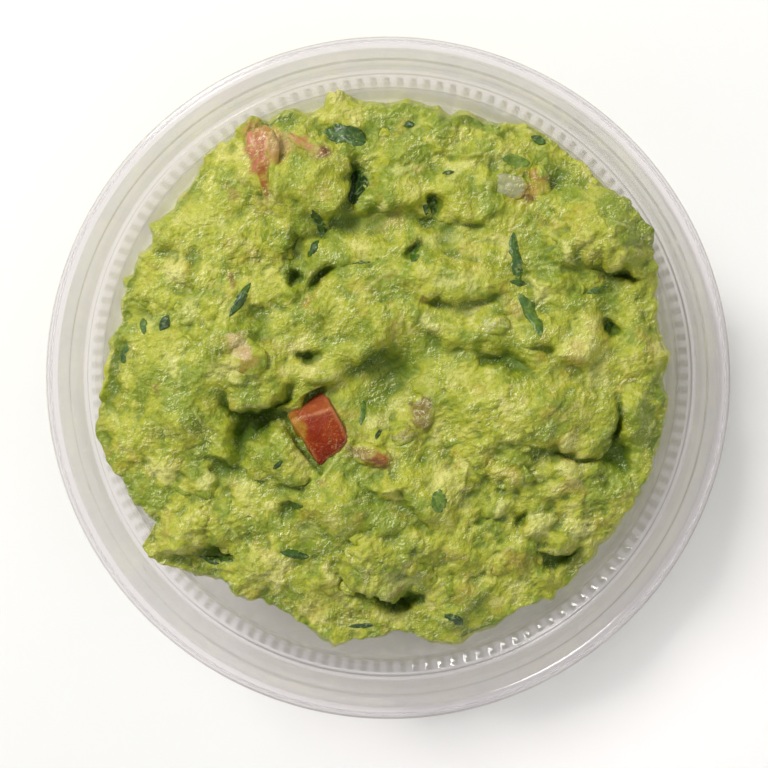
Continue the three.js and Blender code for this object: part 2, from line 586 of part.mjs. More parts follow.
function joinRings(index, upper, lower) {
  const count = upper.length;
  for (let k = 0; k < count; k++) {
    const next = (k + 1) % count;
    index.push(upper[k], lower[k], lower[next], upper[k], lower[next], upper[next]);
  }
}

// Where the paste's side runs below an edge of this radius and height: over the shoulder, or down
// to where it meets the wall, then along the wall to the base. One point for each of SIDE.levels.
function sideProfile(radius, top) {
  const wallTop = TUB.shoulderInner - GAP;
  const footZ = TUB.wall + SIDE.footRise;
  const foot = [
    [insideRadius(footZ) - GAP, footZ],
    [insideRadius(TUB.wall) - GAP, TUB.wall + GAP],
  ];
  if (radius > wallTop) {
    const ledge = [radius, shoulderHeight(radius) + GAP + SIDE.ribClearance];
    return [ledge, [wallTop, shoulderLow], ...foot];
  }
  const room = wallTop - radius;
  const contactRadius = radius + SIDE.lean * room;
  const contactZ = Math.max(footZ + SIDE.footRise, wallHeight(contactRadius + GAP));
  return [
    [radius, Math.min(shoulderLow - SIDE.undercut * room, top - SIDE.drop)],
    [Math.min(contactRadius, insideRadius(contactZ) - GAP), contactZ],
    ...foot,
  ];
}

// A leaf: a thin wavy sheet with a pointed outline that follows the paste under it.
function leafGeometry([x, y, long, wide, turn, lift]) {
  const { rows, columns } = LEAF;
  const c = Math.cos(THREE.MathUtils.degToRad(turn));
  const s = Math.sin(THREE.MathUtils.degToRad(turn));
  const positions = [];
  const index = [];
  for (const layer of [1, 0]) {
    for (let i = 0; i <= rows; i++) {
      for (let j = 0; j <= columns; j++) {
        const u = (2 * i) / rows - 1;
        const v = (2 * j) / columns - 1;
        const oval = LEAF.tip + (1 - LEAF.tip) * Math.sqrt(1 - u * u);
        const width = wide * oval * (1 + LEAF.lobeDepth * Math.sin(LEAF.lobes * u + x));
        const px = x + long * u * c - width * v * s;
        const py = y + long * u * s + width * v * c;
        const wave = LEAF.waveHeight * Math.sin(LEAF.waves * u + LEAF.wavesAcross * v + y);
        const z = surfaceZ(px, py) + lift * LEAF.sink + wave;
        positions.push(px, py, z - (1 - layer) * LEAF.thick);
      }
    }
  }
  const at = (i, j, layer) => (layer ? 0 : (rows + 1) * (columns + 1)) + i * (columns + 1) + j;
  for (let i = 0; i < rows; i++) {
    for (let j = 0; j < columns; j++) {
      for (const layer of [1, 0]) {
        const p = at(i, j, layer);
        const q = at(i + 1, j, layer);
        const r = at(i + 1, j + 1, layer);
        const w = at(i, j + 1, layer);
        if (layer) index.push(p, q, r, p, r, w);
        else index.push(p, r, q, p, w, r);
      }
    }
  }
  const border = [];
  for (let i = 0; i < rows; i++) border.push([i, 0]);
  for (let j = 0; j < columns; j++) border.push([rows, j]);
  for (let i = rows; i > 0; i--) border.push([i, columns]);
  for (let j = columns; j > 0; j--) border.push([0, j]);
  joinRings(index, border.map(([i, j]) => at(i, j, 1)), border.map(([i, j]) => at(i, j, 0)));
  return geometryOf(positions, index);
}

// A rounded piece: a ball pushed towards a box by squareness, roughened, laid at its place.
function pieceGeometry({ at: [x, y], half, turn, rise, square, taper = 0, cut = 1 }, grow = 0) {
  const g = mergeVertices(dropExtras(new THREE.IcosahedronGeometry(1, cut)), MERGE);
  const p = g.attributes.position;
  const c = Math.cos(THREE.MathUtils.degToRad(turn));
  const s = Math.sin(THREE.MathUtils.degToRad(turn));
  const z = surfaceZ(x, y) + rise;
  for (let i = 0; i < p.count; i++) {
    const v = new THREE.Vector3().fromBufferAttribute(p, i);
    const powers = [v.x, v.y, v.z].map((k) => Math.abs(k) ** square);
    v.divideScalar((powers[0] + powers[1] + powers[2]) ** (1 / square));
    const { amount, along, up, size, seed } = PIECE_ROUGH;
    const rough = noise(along * v.x + up * v.z, along * v.y + up * v.z, size, seed);
    v.multiplyScalar(1 + amount * rough);
    const width = (half[1] + grow) * (1 + taper * v.x);
    v.multiply(new THREE.Vector3(half[0] + grow, width, half[2] + grow));
    p.setXYZ(i, x + v.x * c - v.y * s, y + v.x * s + v.y * c, z + v.z);
  }
  return g;
}

function dropExtras(g) {
  g.deleteAttribute("normal");
  g.deleteAttribute("uv");
  return g;
}

// The tomato cube: six faces of cells between eight corners. Corners are drawn in and the middles
// of faces pushed out by bulge.
function cubeGeometry(grow = 0) {
  const top = CUBE.upper.map((c) => new THREE.Vector3(...c));
  const bottom = CUBE.lower.map((c) => new THREE.Vector3(...c));
  const corners = [...top, ...bottom];
  const centre = corners.reduce((sum, c) => sum.add(c), new THREE.Vector3()).divideScalar(8);
  const { cells } = CUBE;
  const g = mergeVertices(dropExtras(new THREE.BoxGeometry(2, 2, 2, cells, cells, cells)), MERGE);
  const p = g.attributes.position;
  const mix = (a, b, k) => a.clone().lerp(b, k);
  for (let i = 0; i < p.count; i++) {
    const u = (p.getX(i) + 1) / 2;
    const v = (p.getY(i) + 1) / 2;
    const w = (p.getZ(i) + 1) / 2;
    const upper = mix(mix(top[1], top[2], u), mix(top[0], top[3], u), v);
    const lower = mix(mix(bottom[1], bottom[2], u), mix(bottom[0], bottom[3], u), v);
    const q = mix(lower, upper, w);
    const freedom = [p.getX(i), p.getY(i), p.getZ(i)].filter((k) => Math.abs(k) < 0.9).length;
    const out = q.clone().sub(centre).normalize();
    q.addScaledVector(out, grow * CUBE.cornerReach + CUBE.bulge * (freedom - 1));
    p.setXYZ(i, q.x, q.y, q.z);
  }
  return g;
}

// ---------------------------------------------------------------- the part

const material = (colour, roughness, extra = {}) =>
  new THREE.MeshStandardMaterial({ color: colour, roughness, metalness: 0, ...extra });
const materials = {
  plastic: material(0xe4ded6, 0.15, { transparent: true, opacity: 0.35 }),
  paste: material(0xa3a83c, 0.45),
  tomato: material(0xb5431f, 0.3),
  onion: material(0xb0aa7c, 0.3),
};

const group = new THREE.Group();
function addNode(name, geometry, look) {
  const mesh = new THREE.Mesh(geometry, look);
  mesh.name = name;
  group.add(mesh);
}

addNode("tub", tubGeometry(), materials.plastic);

let paste = solid(heapGeometry());
for (const leaf of LEAVES) paste = paste.add(solid(leafGeometry(leaf)));
for (const [x, y, long, wide, turn, rise] of CHUNKS) {
  const half = [long, wide, CHUNK.half];
  const chunk = { at: [x, y], half, turn, rise: rise - CHUNK.sink, square: CHUNK.square };
  paste = paste.add(solid(pieceGeometry(chunk)));
}
for (const piece of Object.values(PIECES)) {
  paste = paste.subtract(solid(pieceGeometry(piece, GAP)));
}
paste = paste.subtract(solid(cubeGeometry(GAP)));
// The cuts leave a few loose crumbs of paste: only the heap itself is kept.
const heap = paste.decompose().sort((a, b) => b.volume() - a.volume())[0];
addNode("guacamole", fromSolid(heap), materials.paste);

addNode("tomato_cube", cubeGeometry(), materials.tomato);
for (const [name, piece] of Object.entries(PIECES)) {
  const look = name.startsWith("tomato") ? materials.tomato : materials.onion;
  addNode(name, pieceGeometry(piece), look);
}

export default group;
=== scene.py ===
import math

import bpy
import numpy as np
from mathutils import Matrix, Vector


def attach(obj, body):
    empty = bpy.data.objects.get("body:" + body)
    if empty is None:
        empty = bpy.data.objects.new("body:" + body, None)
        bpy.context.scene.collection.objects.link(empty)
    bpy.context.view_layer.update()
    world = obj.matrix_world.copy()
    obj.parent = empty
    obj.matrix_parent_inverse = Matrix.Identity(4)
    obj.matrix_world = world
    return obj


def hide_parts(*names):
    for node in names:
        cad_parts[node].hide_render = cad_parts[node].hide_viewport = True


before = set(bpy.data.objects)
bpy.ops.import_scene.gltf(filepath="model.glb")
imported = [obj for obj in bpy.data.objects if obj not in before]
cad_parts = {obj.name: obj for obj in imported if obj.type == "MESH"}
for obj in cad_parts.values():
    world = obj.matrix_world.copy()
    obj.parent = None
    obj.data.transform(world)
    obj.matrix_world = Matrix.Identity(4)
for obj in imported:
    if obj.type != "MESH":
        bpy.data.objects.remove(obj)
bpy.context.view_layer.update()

# Guacamole heaped in a round clear plastic tub. Sizes are in millimetres until a mesh is made.

MM = 0.001

# ---------------- the form, as the solids have it

TUB = dict(rim_radius=59.0, rim_z=43.0, shoulder_outer=52.6, shoulder_inner=50.3, shoulder_z=33.6,
           shoulder_fall=1.5, base_radius=46.2, wall=0.8)
HEAP = dict(edge_z=34.0, crown_z=40.6, roundness=2.6, shoulder=0.85)
LUMP_POWER, LUMP_GAIN = 1.25, 1.45
PIT_POWER, PIT_SPREAD = 1.2, 1.3
FOLD_POWER, FOLD_TAPER, LINE_SOFT = 1.5, 0.3, 0.2
WARP = [(5.0, 1.5, 11), (2.4, 0.6, 12)]  # size, amount, seed
WARP_ACROSS = 10  # added to the seeds for the second direction
OVER_RIBS, TO_RIBS = 0.6, 1.2  # the paste stays this far over the ledge, and may fall this steeply towards it
RELIEF = [(13.0, 1.4, 33), (7.0, 1.2, 31), (3.6, 0.75, 32)]  # size, amount, seed

EDGE_SPREAD = 1.025
EDGE_SHIFT = (-0.3, -0.6)
OUTLINE = [
    (48, -5), (46.9, -1.5), (47.6, 3.8), (46.4, 9), (45.1, 14.6), (46, 19.5), (45.4, 24.5), (43.6, 28),
    (39.5, 31.8), (34.6, 34.6), (30.6, 38.2), (26.5, 42.2), (23, 43.6), (18.6, 43.2), (15, 45), (10.6, 44.9),
    (7.8, 46.4), (2, 47.4), (-3.4, 46.5), (-6, 48), (-9.4, 48.8), (-10.6, 46.2), (-14, 45.4), (-18, 45.6),
    (-20.4, 44), (-22.9, 44.8), (-25.7, 41.2), (-30.4, 38.6), (-32.4, 35.2), (-36.4, 29.6), (-40.2, 26.6),
    (-39.6, 23), (-42, 19.4), (-44.6, 17), (-45.6, 10), (-47.6, 4), (-48.2, 0), (-50.2, -7.6), (-48.6, -13.6),
    (-45.4, -16.8), (-43, -21), (-39.8, -24.6), (-42.2, -28.6), (-39, -32), (-34, -33.2), (-28, -34.6),
    (-25.4, -37.4), (-21.4, -37.6), (-16, -41.4), (-9, -45), (-2.4, -44.8), (2, -43.2), (8, -44.6),
    (13, -45.2), (18, -42), (23.4, -38.4), (28.6, -37), (32.8, -33.4), (36.2, -28.4), (40.4, -23.6),
    (43.8, -18), (45.4, -12.6),
]

# Rounded lumps: x, y, half length, half width, turn in degrees, height
LUMPS = [
    (-17, 35.5, 10.5, 9, 40, 3),  # knob that carries the pink tomato
    (-27.5, 34, 5.5, 5, 60, 1.2), (-33, 27, 7, 5, 55, 1.1), (-36.5, 18, 3.6, 2.6, 20, 1.2),
    (-40.5, 15, 4, 3, 70, 1), (-26, 24, 8, 5.5, 35, 1.2), (-38.4, 24.6, 2.8, 1.8, 60, 1.2),
    (-32.5, 8, 12.5, 11, 90, 2),  # broad left shoulder
    (-24, 3.5, 6.5, 5.4, 150, 1), (-11.8, 11.8, 3.6, 3.2, 0, 1.5), (-17, 16, 2.8, 1.6, 10, 1.4),
    (-43, 5, 4, 6, 0, 1),
    (11.4, 32.2, 3.6, 3.8, 60, 1.8),  # smooth lobe beside the dark notch
    (17.5, 41, 5, 2.6, 10, 1.3), (3, 40, 7, 3.2, 5, 1.2), (9, 43, 2.6, 3, 0, 1.1),
    (36.8, 27, 10, 8, 155, 2.8),  # large right lobe
    (31, 22.6, 2.6, 1.9, 130, 1.2), (26.6, 25.2, 1.8, 1.6, 0, 1), (26.6, 15.6, 3.1, 1.6, 120, 1.2),
    (30.4, 17, 2.4, 2.8, 100, 1.2),
    (12.5, 18.3, 9.5, 3.2, 10, 1.5),  # roll over the long middle fold
    (33.6, 5, 3.6, 3.4, 30, 1.6), (34.5, 11.5, 3.4, 4.5, 160, 1.2),
    (43.4, 7, 3.2, 8.5, 5, 1.5),  # roll along the right edge
    (-28.7, -8.8, 2.4, 1.9, 0, 1.8), (-27.8, -13, 3.2, 1.9, 170, 1.6), (-38, -7, 8, 7, 0, 1.4),
    (-45, -9.5, 4, 5.5, 0, 1.2),
    (-18.6, -12.6, 6.6, 4.4, 170, 2.6),  # block below the cave
    (-39.6, -16.4, 3.9, 1.7, 155, 1.2), (-32.2, -18.2, 1.6, 2.3, 150, 1.2),
    (-38.6, -28.6, 4.4, 2.2, 10, 1.8),  # pointed lobe over the gap
    (-29, -25.5, 8, 5, 25, 1.4), (-22, -33, 6, 4.5, 160, 1.2),
    (-9.5, -21.6, 7.4, 7.2, 0, 2.4),  # round lobe
    (-0.8, -32.6, 7.6, 6.9, 160, 2.6),  # large lower lobe
    (-13.5, -36.5, 5, 3.6, 160, 1.2), (-1.4, -7, 3.2, 2.6, 20, 1.3),
    (25, -5, 13.5, 8.2, 175, 2.2),  # broad right centre
    (42.6, -6.6, 3.7, 6, 0, 2),  # small lobe at the right edge
    (21.6, -15.2, 4.6, 3.2, 20, 1.5), (32, -16.6, 3.8, 3.4, 150, 1.7), (36.5, -15.6, 1.8, 1.9, 0, 1.2),
    (20, -22.2, 2.3, 2, 40, 1.4), (27, -25.4, 2.9, 2.1, 10, 1.8), (28, -20.4, 3, 2.4, 40, 1),
    (34, -25.4, 3.6, 2.2, 50, 1.2), (13, -30.8, 5, 4.2, 20, 1.3), (22, -31.4, 4.2, 3.2, 10, 1.4),
    (30, -28.2, 2.9, 2, 30, 1.4), (27, -35.4, 1.5, 2.4, 20, 1.5), (14.8, -37.6, 4.6, 3, 30, 1.4),
    (9.5, -19, 6.4, 5.4, 20, 1.1), (1.6, -17.6, 4, 3.2, 20, 1), (15, -12, 6, 3.6, 30, 0.9),
    (6, -27.4, 4.4, 3.4, 150, 1), (12, -42.2, 5.4, 2.8, 10, 1.1), (5.8, -35.6, 2.2, 2.4, 0, 1.1),
    (40, -19.4, 3, 3.6, 140, 1),
]

# Hollows and pits: x, y, half length, half width, turn in degrees, depth
PITS = [
    (3.6, 2.6, 10.5, 6.6, 28, 2),  # spoon hollow
    (5, -1, 6, 5, 0, 1),
    (-3, 26, 11.5, 4.4, 10, 3),  # valley under the upper sweep
    (-22, -7, 5.2, 2.8, 170, 4),  # cave under the left mass
    (-25, -11.5, 1.6, 4.6, 175, 2.8), (-28.2, -15.4, 3.9, 1.2, 155, 2.4), (-20.2, 11.8, 3.6, 2, 30, 2.2),
    (-13.5, 3.8, 1.15, 1.15, 0, 4.4),  # round hole
    (-16.6, 18.6, 2.2, 1.2, 175, 4.4), (-11.2, 18.2, 3, 1.6, 35, 3.8), (-16, 23.2, 3, 2.2, 40, 1.6),
    (-5.4, 33.6, 2.3, 3, 0, 2.4), (7.4, 31, 1.3, 2, 155, 3.6), (4.7, 21.8, 1.5, 2.3, 150, 3.2),
    (8, 14, 3, 1, 178, 1.6), (19.8, 2.4, 4.4, 1.5, 178, 2.6), (27.2, 5.4, 3.6, 1, 175, 1.8),
    (39, 9.4, 1.4, 1.8, 20, 3), (42, 18.2, 2.8, 1.1, 175, 2.6), (29.2, 34.6, 1.2, 2.3, 150, 2),
    (40.4, -13.4, 1.7, 3, 30, 2.6), (39.1, -6.5, 1.1, 6, 2, 2.4), (-16.6, -22.8, 1.4, 1.5, 0, 2.6),
    (2.6, -39.4, 4.9, 1.6, 172, 3.8),  # cave under the large lower lobe
    (29.4, -32.4, 3.6, 2.2, 15, 3), (17.9, -25.2, 1.3, 1.1, 0, 2.4), (21.4, -24.9, 3.6, 0.9, 2, 2),
    (24.2, -24.9, 1.2, 2.2, 150, 2.8), (27.2, -27.9, 2, 0.9, 178, 1.8), (28.2, -21.8, 1.2, 1.3, 0, 2.2),
    (37.4, -17.8, 1.2, 1.5, 30, 2), (-31, -32, 3.4, 1.4, 170, 2.2), (25.6, -14.6, 1, 2.6, 170, 1.5),
    (16.4, -20.4, 1.8, 1.1, 20, 1.5), (-37.6, 22, 2, 1.1, 30, 1.4),
]

# Folds left by the spoon: edge, lift, drop, reach, fall, and the line with its high side on the left
FOLDS = [
    (0.7, 2.2, 3.6, 9, 3.4, [  # left overhang
        (-31, -3), (-27.5, -3.6), (-24.5, -4.8), (-21, -4.2), (-17.5, -2.4), (-15, -1.4)]),
    (1.7, 2.6, 2.1, 6, 7, [  # main ridge
        (-17.5, -2.6), (-9.2, 0.6), (-4.8, 3.8), (-1, 7.2), (2.4, 9.4)]),
    (1.5, 1.4, 1.8, 5, 5, [  # upper sweep
        (-9, 29.6), (-1.4, 30.4), (3.6, 31.6), (8.4, 33.6)]),
    (1.3, 1.2, 2, 4, 4.5, [  # curl left of the valley
        (-20.6, 18.4), (-18.4, 22.8), (-16.2, 25.8), (-12.6, 28.2)]),
    (1.4, 1, 2, 4, 4, [  # valley foot
        (-15.4, 20), (-10.6, 20.2), (-6.6, 21.3), (-2.6, 21.8), (2.2, 23.4), (6.4, 25)]),
    (1.5, 1.4, 1.6, 5, 4, [  # upper right
        (2, 29), (8, 28.7), (14, 28.4), (20, 27.2)]),
    (1.2, 1.6, 1.9, 5, 4, [  # long middle
        (3.6, 14.8), (9.6, 14.3), (14, 15.2), (18, 15.8), (22.6, 17)]),
    (1.2, 1.9, 1.9, 4, 4.6, [  # right curve
        (4, 10.4), (9, 8.2), (14.6, 5.8), (19.6, 5.3), (23.2, 4.6), (26.6, 1.6), (30.2, -1.6)]),
    (1.2, 0.9, 1.3, 3.4, 3, [  # right small
        (22, 7.4), (27, 5.9), (32, 6.2)]),
    (1.8, 2, 3, 5, 6, [  # knob side
        (-12.6, 22.6), (-11.8, 27), (-10, 30.4), (-7.6, 33.6), (-7.8, 36.6), (-7.2, 40.6)]),
    (1.2, 1.6, 2.2, 5, 4, [  # under the right lobe
        (29, 21.8), (36, 20.4), (40, 19.2), (43.4, 18.8), (46, 17.4)]),
    (1, 1.4, 1.6, 4, 3, [  # under the block
        (-26.4, -16.8), (-19.6, -17.1), (-15, -17.4), (-11, -15.4)]),
    (1.2, 1.2, 0.8, 4, 3, [  # over the large lobe
        (-10, -29.4), (-5, -27.3), (-1.4, -25.6), (4, -25.2)]),
    (1, 1.6, 3.2, 5, 3.6, [  # under the large lobe
        (-9.4, -34), (-5, -36.1), (-1, -37.6), (2.4, -38.6), (5.6, -36.6)]),
    (1, 1.6, 2.4, 5, 4, [  # under the right centre
        (23.4, -12), (28, -10.6), (31, -12), (34, -13.4), (36.8, -13), (38.8, -9.6), (39.4, -2)]),
    (1, 1.2, 2.4, 3.6, 3.6, [  # lower right hollow
        (24.6, -29), (28.6, -29.9), (31.4, -30.7), (34.4, -28.6)]),
    (1, 1.2, 1.8, 4, 3.4, [  # under the pointed lobe
        (-39.6, -30.6), (-34.6, -30.6), (-27, -31.4)]),
    (1.8, 0.9, 1.2, 5, 5, [  # down the left shoulder
        (-38, 21), (-33, 16), (-29.4, 8), (-29, 0)]),
    (1.4, 1, 1.3, 4, 4, [  # from the amber piece to the lower lobes
        (-8, -15.4), (-3, -17.6), (3, -18.2), (8, -24), (9.4, -31)]),
    (1.5, 1.3, 1.5, 4.6, 4.6, [  # between the upper right lumps
        (21.6, 25.6), (25.2, 20.2), (28.4, 13.6), (29.6, 8.6)]),
]

# Paler avocado lumps: x, y, half length, half width, turn in degrees, rise
CHUNKS = [
    (-37.6, 18.4, 2, 1.5, 20, 0.9), (-39.8, -16.4, 3.6, 1.4, 155, 0.8), (-32.3, -18.2, 1.4, 2.1, 150, 0.9),
    (31, 22.8, 2.4, 1.3, 130, 0.8), (26.6, 15.4, 2.9, 1.3, 120, 0.8), (20.2, -22.8, 2.2, 1.4, 50, 0.9),
    (27.2, -25.2, 2.6, 1.7, 5, 1), (31.6, -15.4, 2, 1.8, 0, 1), (33, -18, 1.9, 1.6, 30, 0.9),
    (34, -26.4, 2.4, 1.4, 50, 0.9), (29.4, -30.2, 1.6, 1.2, 20, 0.8), (-1.8, -7, 2.2, 1.7, 20, 0.9),
]

# Vegetable pieces: middle, half sizes, turn, rise, squareness, taper
PIECES = {
    "tomato_rose": ((-21, 37.8), (5.8, 2.5, 1.9), 98, 0.1, 2.6, 0.35),
    "tomato_skin": ((-13.2, 40.4), (4.6, 1.3, 1.1), 147, 0.25, 3.0, 0.0),
    "onion_grey": ((20.9, 33.5), (3.3, 2.1, 1.5), 172, 0.2, 3.2, 0.0),
    "tomato_brown": ((26.4, 34.2), (3.0, 1.7, 1.6), 100, 0.2, 2.8, 0.0),
    "onion_tan": ((-24, 4.2), (3.6, 3.0, 1.7), 150, 0.1, 2.4, 0.1),
    "onion_clear": ((18.7, 9.8), (2.5, 1.7, 1.2), 15, 0.15, 2.4, 0.0),
    "onion_glossy": ((6.3, -5.4), (3.1, 2.0, 1.5), 80, 0.1, 2.6, 0.1),
    "onion_small": ((2.9, -9.6), (2.0, 1.4, 1.2), 35, 0.1, 2.4, 0.0),
    "tomato_amber": ((-2.6, -12.9), (3.4, 1.9, 1.6), 165, 0.15, 2.6, 0.1),
}

# The cut tomato cube: the corners of its upper and of its lower face
CUBE_UPPER = [(-9.2, -4.4, 42.6), (-16.6, -6.8, 41.8), (-11.4, -15.2, 41.0), (-6.4, -10.4, 42.0)]
CUBE_LOWER = [(-11.6, -1.6, 36.6), (-18.0, -6.2, 36.2), (-13.4, -13.2, 33.4), (-7.6, -8.0, 34.0)]

# ---------------- numbers


def smooth(low, high, t):
    u = np.clip((t - low) / (high - low), 0, 1)
    return u * u * (3 - 2 * u)


def hashed(i, j, seed):
    """A repeatable number from 0 to 1 for each corner of a square grid."""
    i = i.astype(np.int64)
    j = j.astype(np.int64)
    full = 0xFFFFFFFF
    h = ((i * 374761393) & full) ^ ((j * 668265263) & full) ^ ((seed * 2246822519) & full)
    h = ((h ^ (h >> 13)) * 1274126177) & full
    h ^= h >> 16
    return h / 4294967296.0


def noise(x, y, size, seed):
    """Smooth noise from -1 to 1, with one hill or dip every size millimetres."""
    u, v = x / size, y / size
    i, j = np.floor(u), np.floor(v)
    a, b = smooth(0, 1, u - i), smooth(0, 1, v - j)
    low = hashed(i, j, seed) * (1 - a) + hashed(i + 1, j, seed) * a
    high = hashed(i, j + 1, seed) * (1 - a) + hashed(i + 1, j + 1, seed) * a
    return 2 * (low * (1 - b) + high * b) - 1


def layered(x, y, layers, seed_shift=0):
    return sum(amount * noise(x, y, size, seed + seed_shift) for size, amount, seed in layers)


def in_ellipse(x, y, cx, cy, long, wide, turn):
    c, s = math.cos(math.radians(turn)), math.sin(math.radians(turn))
    u = (x - cx) * c + (y - cy) * s
    v = (y - cy) * c - (x - cx) * s
    return (u / long) ** 2 + (v / wide) ** 2


def along_line(x, y, line):
    """Signed distance to a line, positive on its left, and how far along it, 0 to 1."""
    best, side = np.full(x.shape, np.inf), np.ones(x.shape)
    at, total, walked = np.zeros(x.shape), np.zeros(x.shape), 0.0
    for (ax, ay), (bx, by) in zip(line, line[1:]):
        dx, dy = bx - ax, by - ay
        length = math.hypot(dx, dy)
        t = np.clip(((x - ax) * dx + (y - ay) * dy) / length ** 2, 0, 1)
        d = np.hypot(x - ax - t * dx, y - ay - t * dy)
        near = d < best
        best = np.where(near, d, best)
        side = np.where(near, np.where(dx * (y - ay) - dy * (x - ax) < 0, -1.0, 1.0), side)
        nearness = 1 / (d + LINE_SOFT) ** 8
        at = at + nearness * (walked + t * length)
        total = total + nearness
        walked += length
    return side * best, at / (total * walked)


EDGE_X, EDGE_Y = ((np.array(OUTLINE) + EDGE_SHIFT) * EDGE_SPREAD).T


def edge_radius(angle):
    """How far out the heap's outline is in a direction."""
    return np.interp(angle, np.arctan2(EDGE_Y, EDGE_X), np.hypot(EDGE_X, EDGE_Y), period=2 * math.pi)


def surface_z(x, y):
    """The heap's top as the solid has it."""
    reach = np.minimum(1, np.hypot(x, y) / edge_radius(np.arctan2(y, x)))
    dome = (1 - reach ** HEAP["roundness"]) ** HEAP["shoulder"]
    z = HEAP["edge_z"] + (HEAP["crown_z"] - HEAP["edge_z"]) * dome
    wx = x + layered(x, y, WARP)
    wy = y + layered(x, y, WARP, WARP_ACROSS)
    for *ellipse, height in LUMPS:
        z = z + LUMP_GAIN * height * np.maximum(0, 1 - in_ellipse(wx, wy, *ellipse)) ** LUMP_POWER
    for *ellipse, depth in PITS:
        z = z - depth * np.maximum(0, 1 - in_ellipse(wx, wy, *ellipse) / PIT_SPREAD) ** PIT_POWER
    for edge, lift, drop, back, fall, line in FOLDS:
        d, t = along_line(wx, wy, line)
        taper = smooth(0, FOLD_TAPER, t) * smooth(0, FOLD_TAPER, 1 - t)
        high = lift * np.exp(-((np.maximum(0, d) / back) ** FOLD_POWER))
        low = -drop * np.exp(-((np.maximum(0, -d) / fall) ** FOLD_POWER))
        step = smooth(-edge, edge, d)
        z = z + taper * (step * high + (1 - step) * low)
    inside = np.maximum(0, TUB["shoulder_inner"] - np.hypot(x, y))
    least = TUB["shoulder_z"] + OVER_RIBS - TO_RIBS * inside
    return np.maximum(least, z + layered(x, y, RELIEF))


# ---------------- relief maps of the top

HALF = 56.0  # half width of the maps
MAP = 1024  # cells across
AXIS = np.linspace(-HALF, HALF, MAP)
PITCH = AXIS[1] - AXIS[0]
GX, GY = np.meshgrid(AXIS, AXIS)
FREQ = np.fft.fftfreq(MAP, PITCH)
FREQ2 = FREQ[None, :] ** 2 + FREQ[:, None] ** 2


def look_up(field, x, y):
    """A map's value at (x, y), between its cells."""
    u = np.clip((x + HALF) / PITCH, 0, MAP - 1.001)
    v = np.clip((y + HALF) / PITCH, 0, MAP - 1.001)
    i, j = u.astype(np.int32), v.astype(np.int32)
    a, b = u - i, v - j
    low = field[j, i] * (1 - a) + field[j, i + 1] * a
    high = field[j + 1, i] * (1 - a) + field[j + 1, i + 1] * a
    return low * (1 - b) + high * b


def blurred(field, size):
    """A map smoothed over size millimetres."""
    return np.fft.ifft2(np.fft.fft2(field) * np.exp(-2 * (math.pi * size) ** 2 * FREQ2)).real


def grain(size, seed):
    """Even noise whose grains are about size millimetres, with a spread of 1."""
    wild = np.random.default_rng(seed).standard_normal((MAP, MAP))
    fine = blurred(wild, 0.28 * size) - blurred(wild, 0.7 * size)
    return fine / fine.std()


# Which way the paste was smeared: x, y, direction in degrees, reach
STROKES = [
    (0, 34, 8, 12), (14, 30, 5, 12), (-18, 36, 70, 8), (-30, 28, 55, 10), (-34, 10, 60, 12), (-24, 18, 58, 8),
    (-42, -4, 80, 10), (-22, -2, 20, 7), (-6, 3, 38, 7), (4, 4, 70, 6), (0, 22, 10, 8), (14, 17, 8, 8),
    (22, 8, 170, 8), (36, 26, 150, 10), (34, 10, 110, 8), (44, 6, 92, 7), (24, -4, 20, 9), (38, -10, 80, 8),
    (30, -20, 25, 8), (16, -16, 65, 8), (4, -14, 30, 8), (-10, -22, 30, 8), (-2, -33, 40, 8),
    (14, -34, 30, 8), (28, -30, 40, 8), (-28, -14, 150, 8), (-30, -24, 150, 8), (-38, -28, 170, 6),
    (-20, -32, 150, 8), (0, -44, 175, 8),
]


def flow_angle():
    """The direction of the smearing all over the maps, between the strokes and wandering a little."""
    across, upward = np.zeros((MAP, MAP)), np.zeros((MAP, MAP))
    for x, y, turn, reach in STROKES:
        weight = np.exp(-((GX - x) ** 2 + (GY - y) ** 2) / (0.9 * reach) ** 2)
        across += weight * math.cos(math.radians(2 * turn))
        upward += weight * math.sin(math.radians(2 * turn))
    return 0.5 * np.arctan2(upward, across) + 0.4 * grain(9, 501)


FLOW = flow_angle()
FLOW_X, FLOW_Y = np.cos(FLOW), np.sin(FLOW)
PUSH_X = 0.9 * grain(3.4, 511) + 0.35 * grain(1.3, 512)
PUSH_Y = 0.9 * grain(3.4, 521) + 0.35 * grain(1.3, 522)
STREAK_REACH, STREAK_STEP = 2.6, 0.16


def smeared(fields):
    """Maps drawn out along the flow, each given a spread of 1 again."""
    sums = [f.copy() for f in fields]
    for sign in (1, -1):
        px, py = GX.copy(), GY.copy()
        vx, vy = FLOW_X * sign, FLOW_Y * sign
        for _ in range(int(STREAK_REACH / STREAK_STEP)):
            i = np.clip((px + HALF) / PITCH + 0.5, 0, MAP - 1).astype(np.int32)
            j = np.clip((py + HALF) / PITCH + 0.5, 0, MAP - 1).astype(np.int32)
            fx, fy = FLOW_X[j, i], FLOW_Y[j, i]
            turn = np.where(fx * vx + fy * vy < 0, -1.0, 1.0)
            vx, vy = fx * turn, fy * turn
            px += vx * STREAK_STEP
            py += vy * STREAK_STEP
            for total, f in zip(sums, fields):
                total += f[j, i]
    return [s / s.std() for s in sums]


def patches(table, soft, push=0.55):
    """A map that is 1 inside each of the ellipses x, y, half length, half width, turn, strength."""
    total = np.zeros((MAP, MAP))
    for cx, cy, long, wide, turn, *strength in table:
        reach = 1.4 * max(long, wide) + 1.5
        i0, i1 = np.searchsorted(AXIS, (cx - reach, cx + reach))
        j0, j1 = np.searchsorted(AXIS, (cy - reach, cy + reach))
        box = (slice(j0, j1), slice(i0, i1))
        wx, wy = GX[box] + push * PUSH_X[box], GY[box] + push * PUSH_Y[box]
        inside = smooth(1.25, 1.25 - soft, in_ellipse(wx, wy, cx, cy, long, wide, turn))
        total[box] = np.maximum(total[box], (strength[0] if strength else 1.0) * inside)
    return total


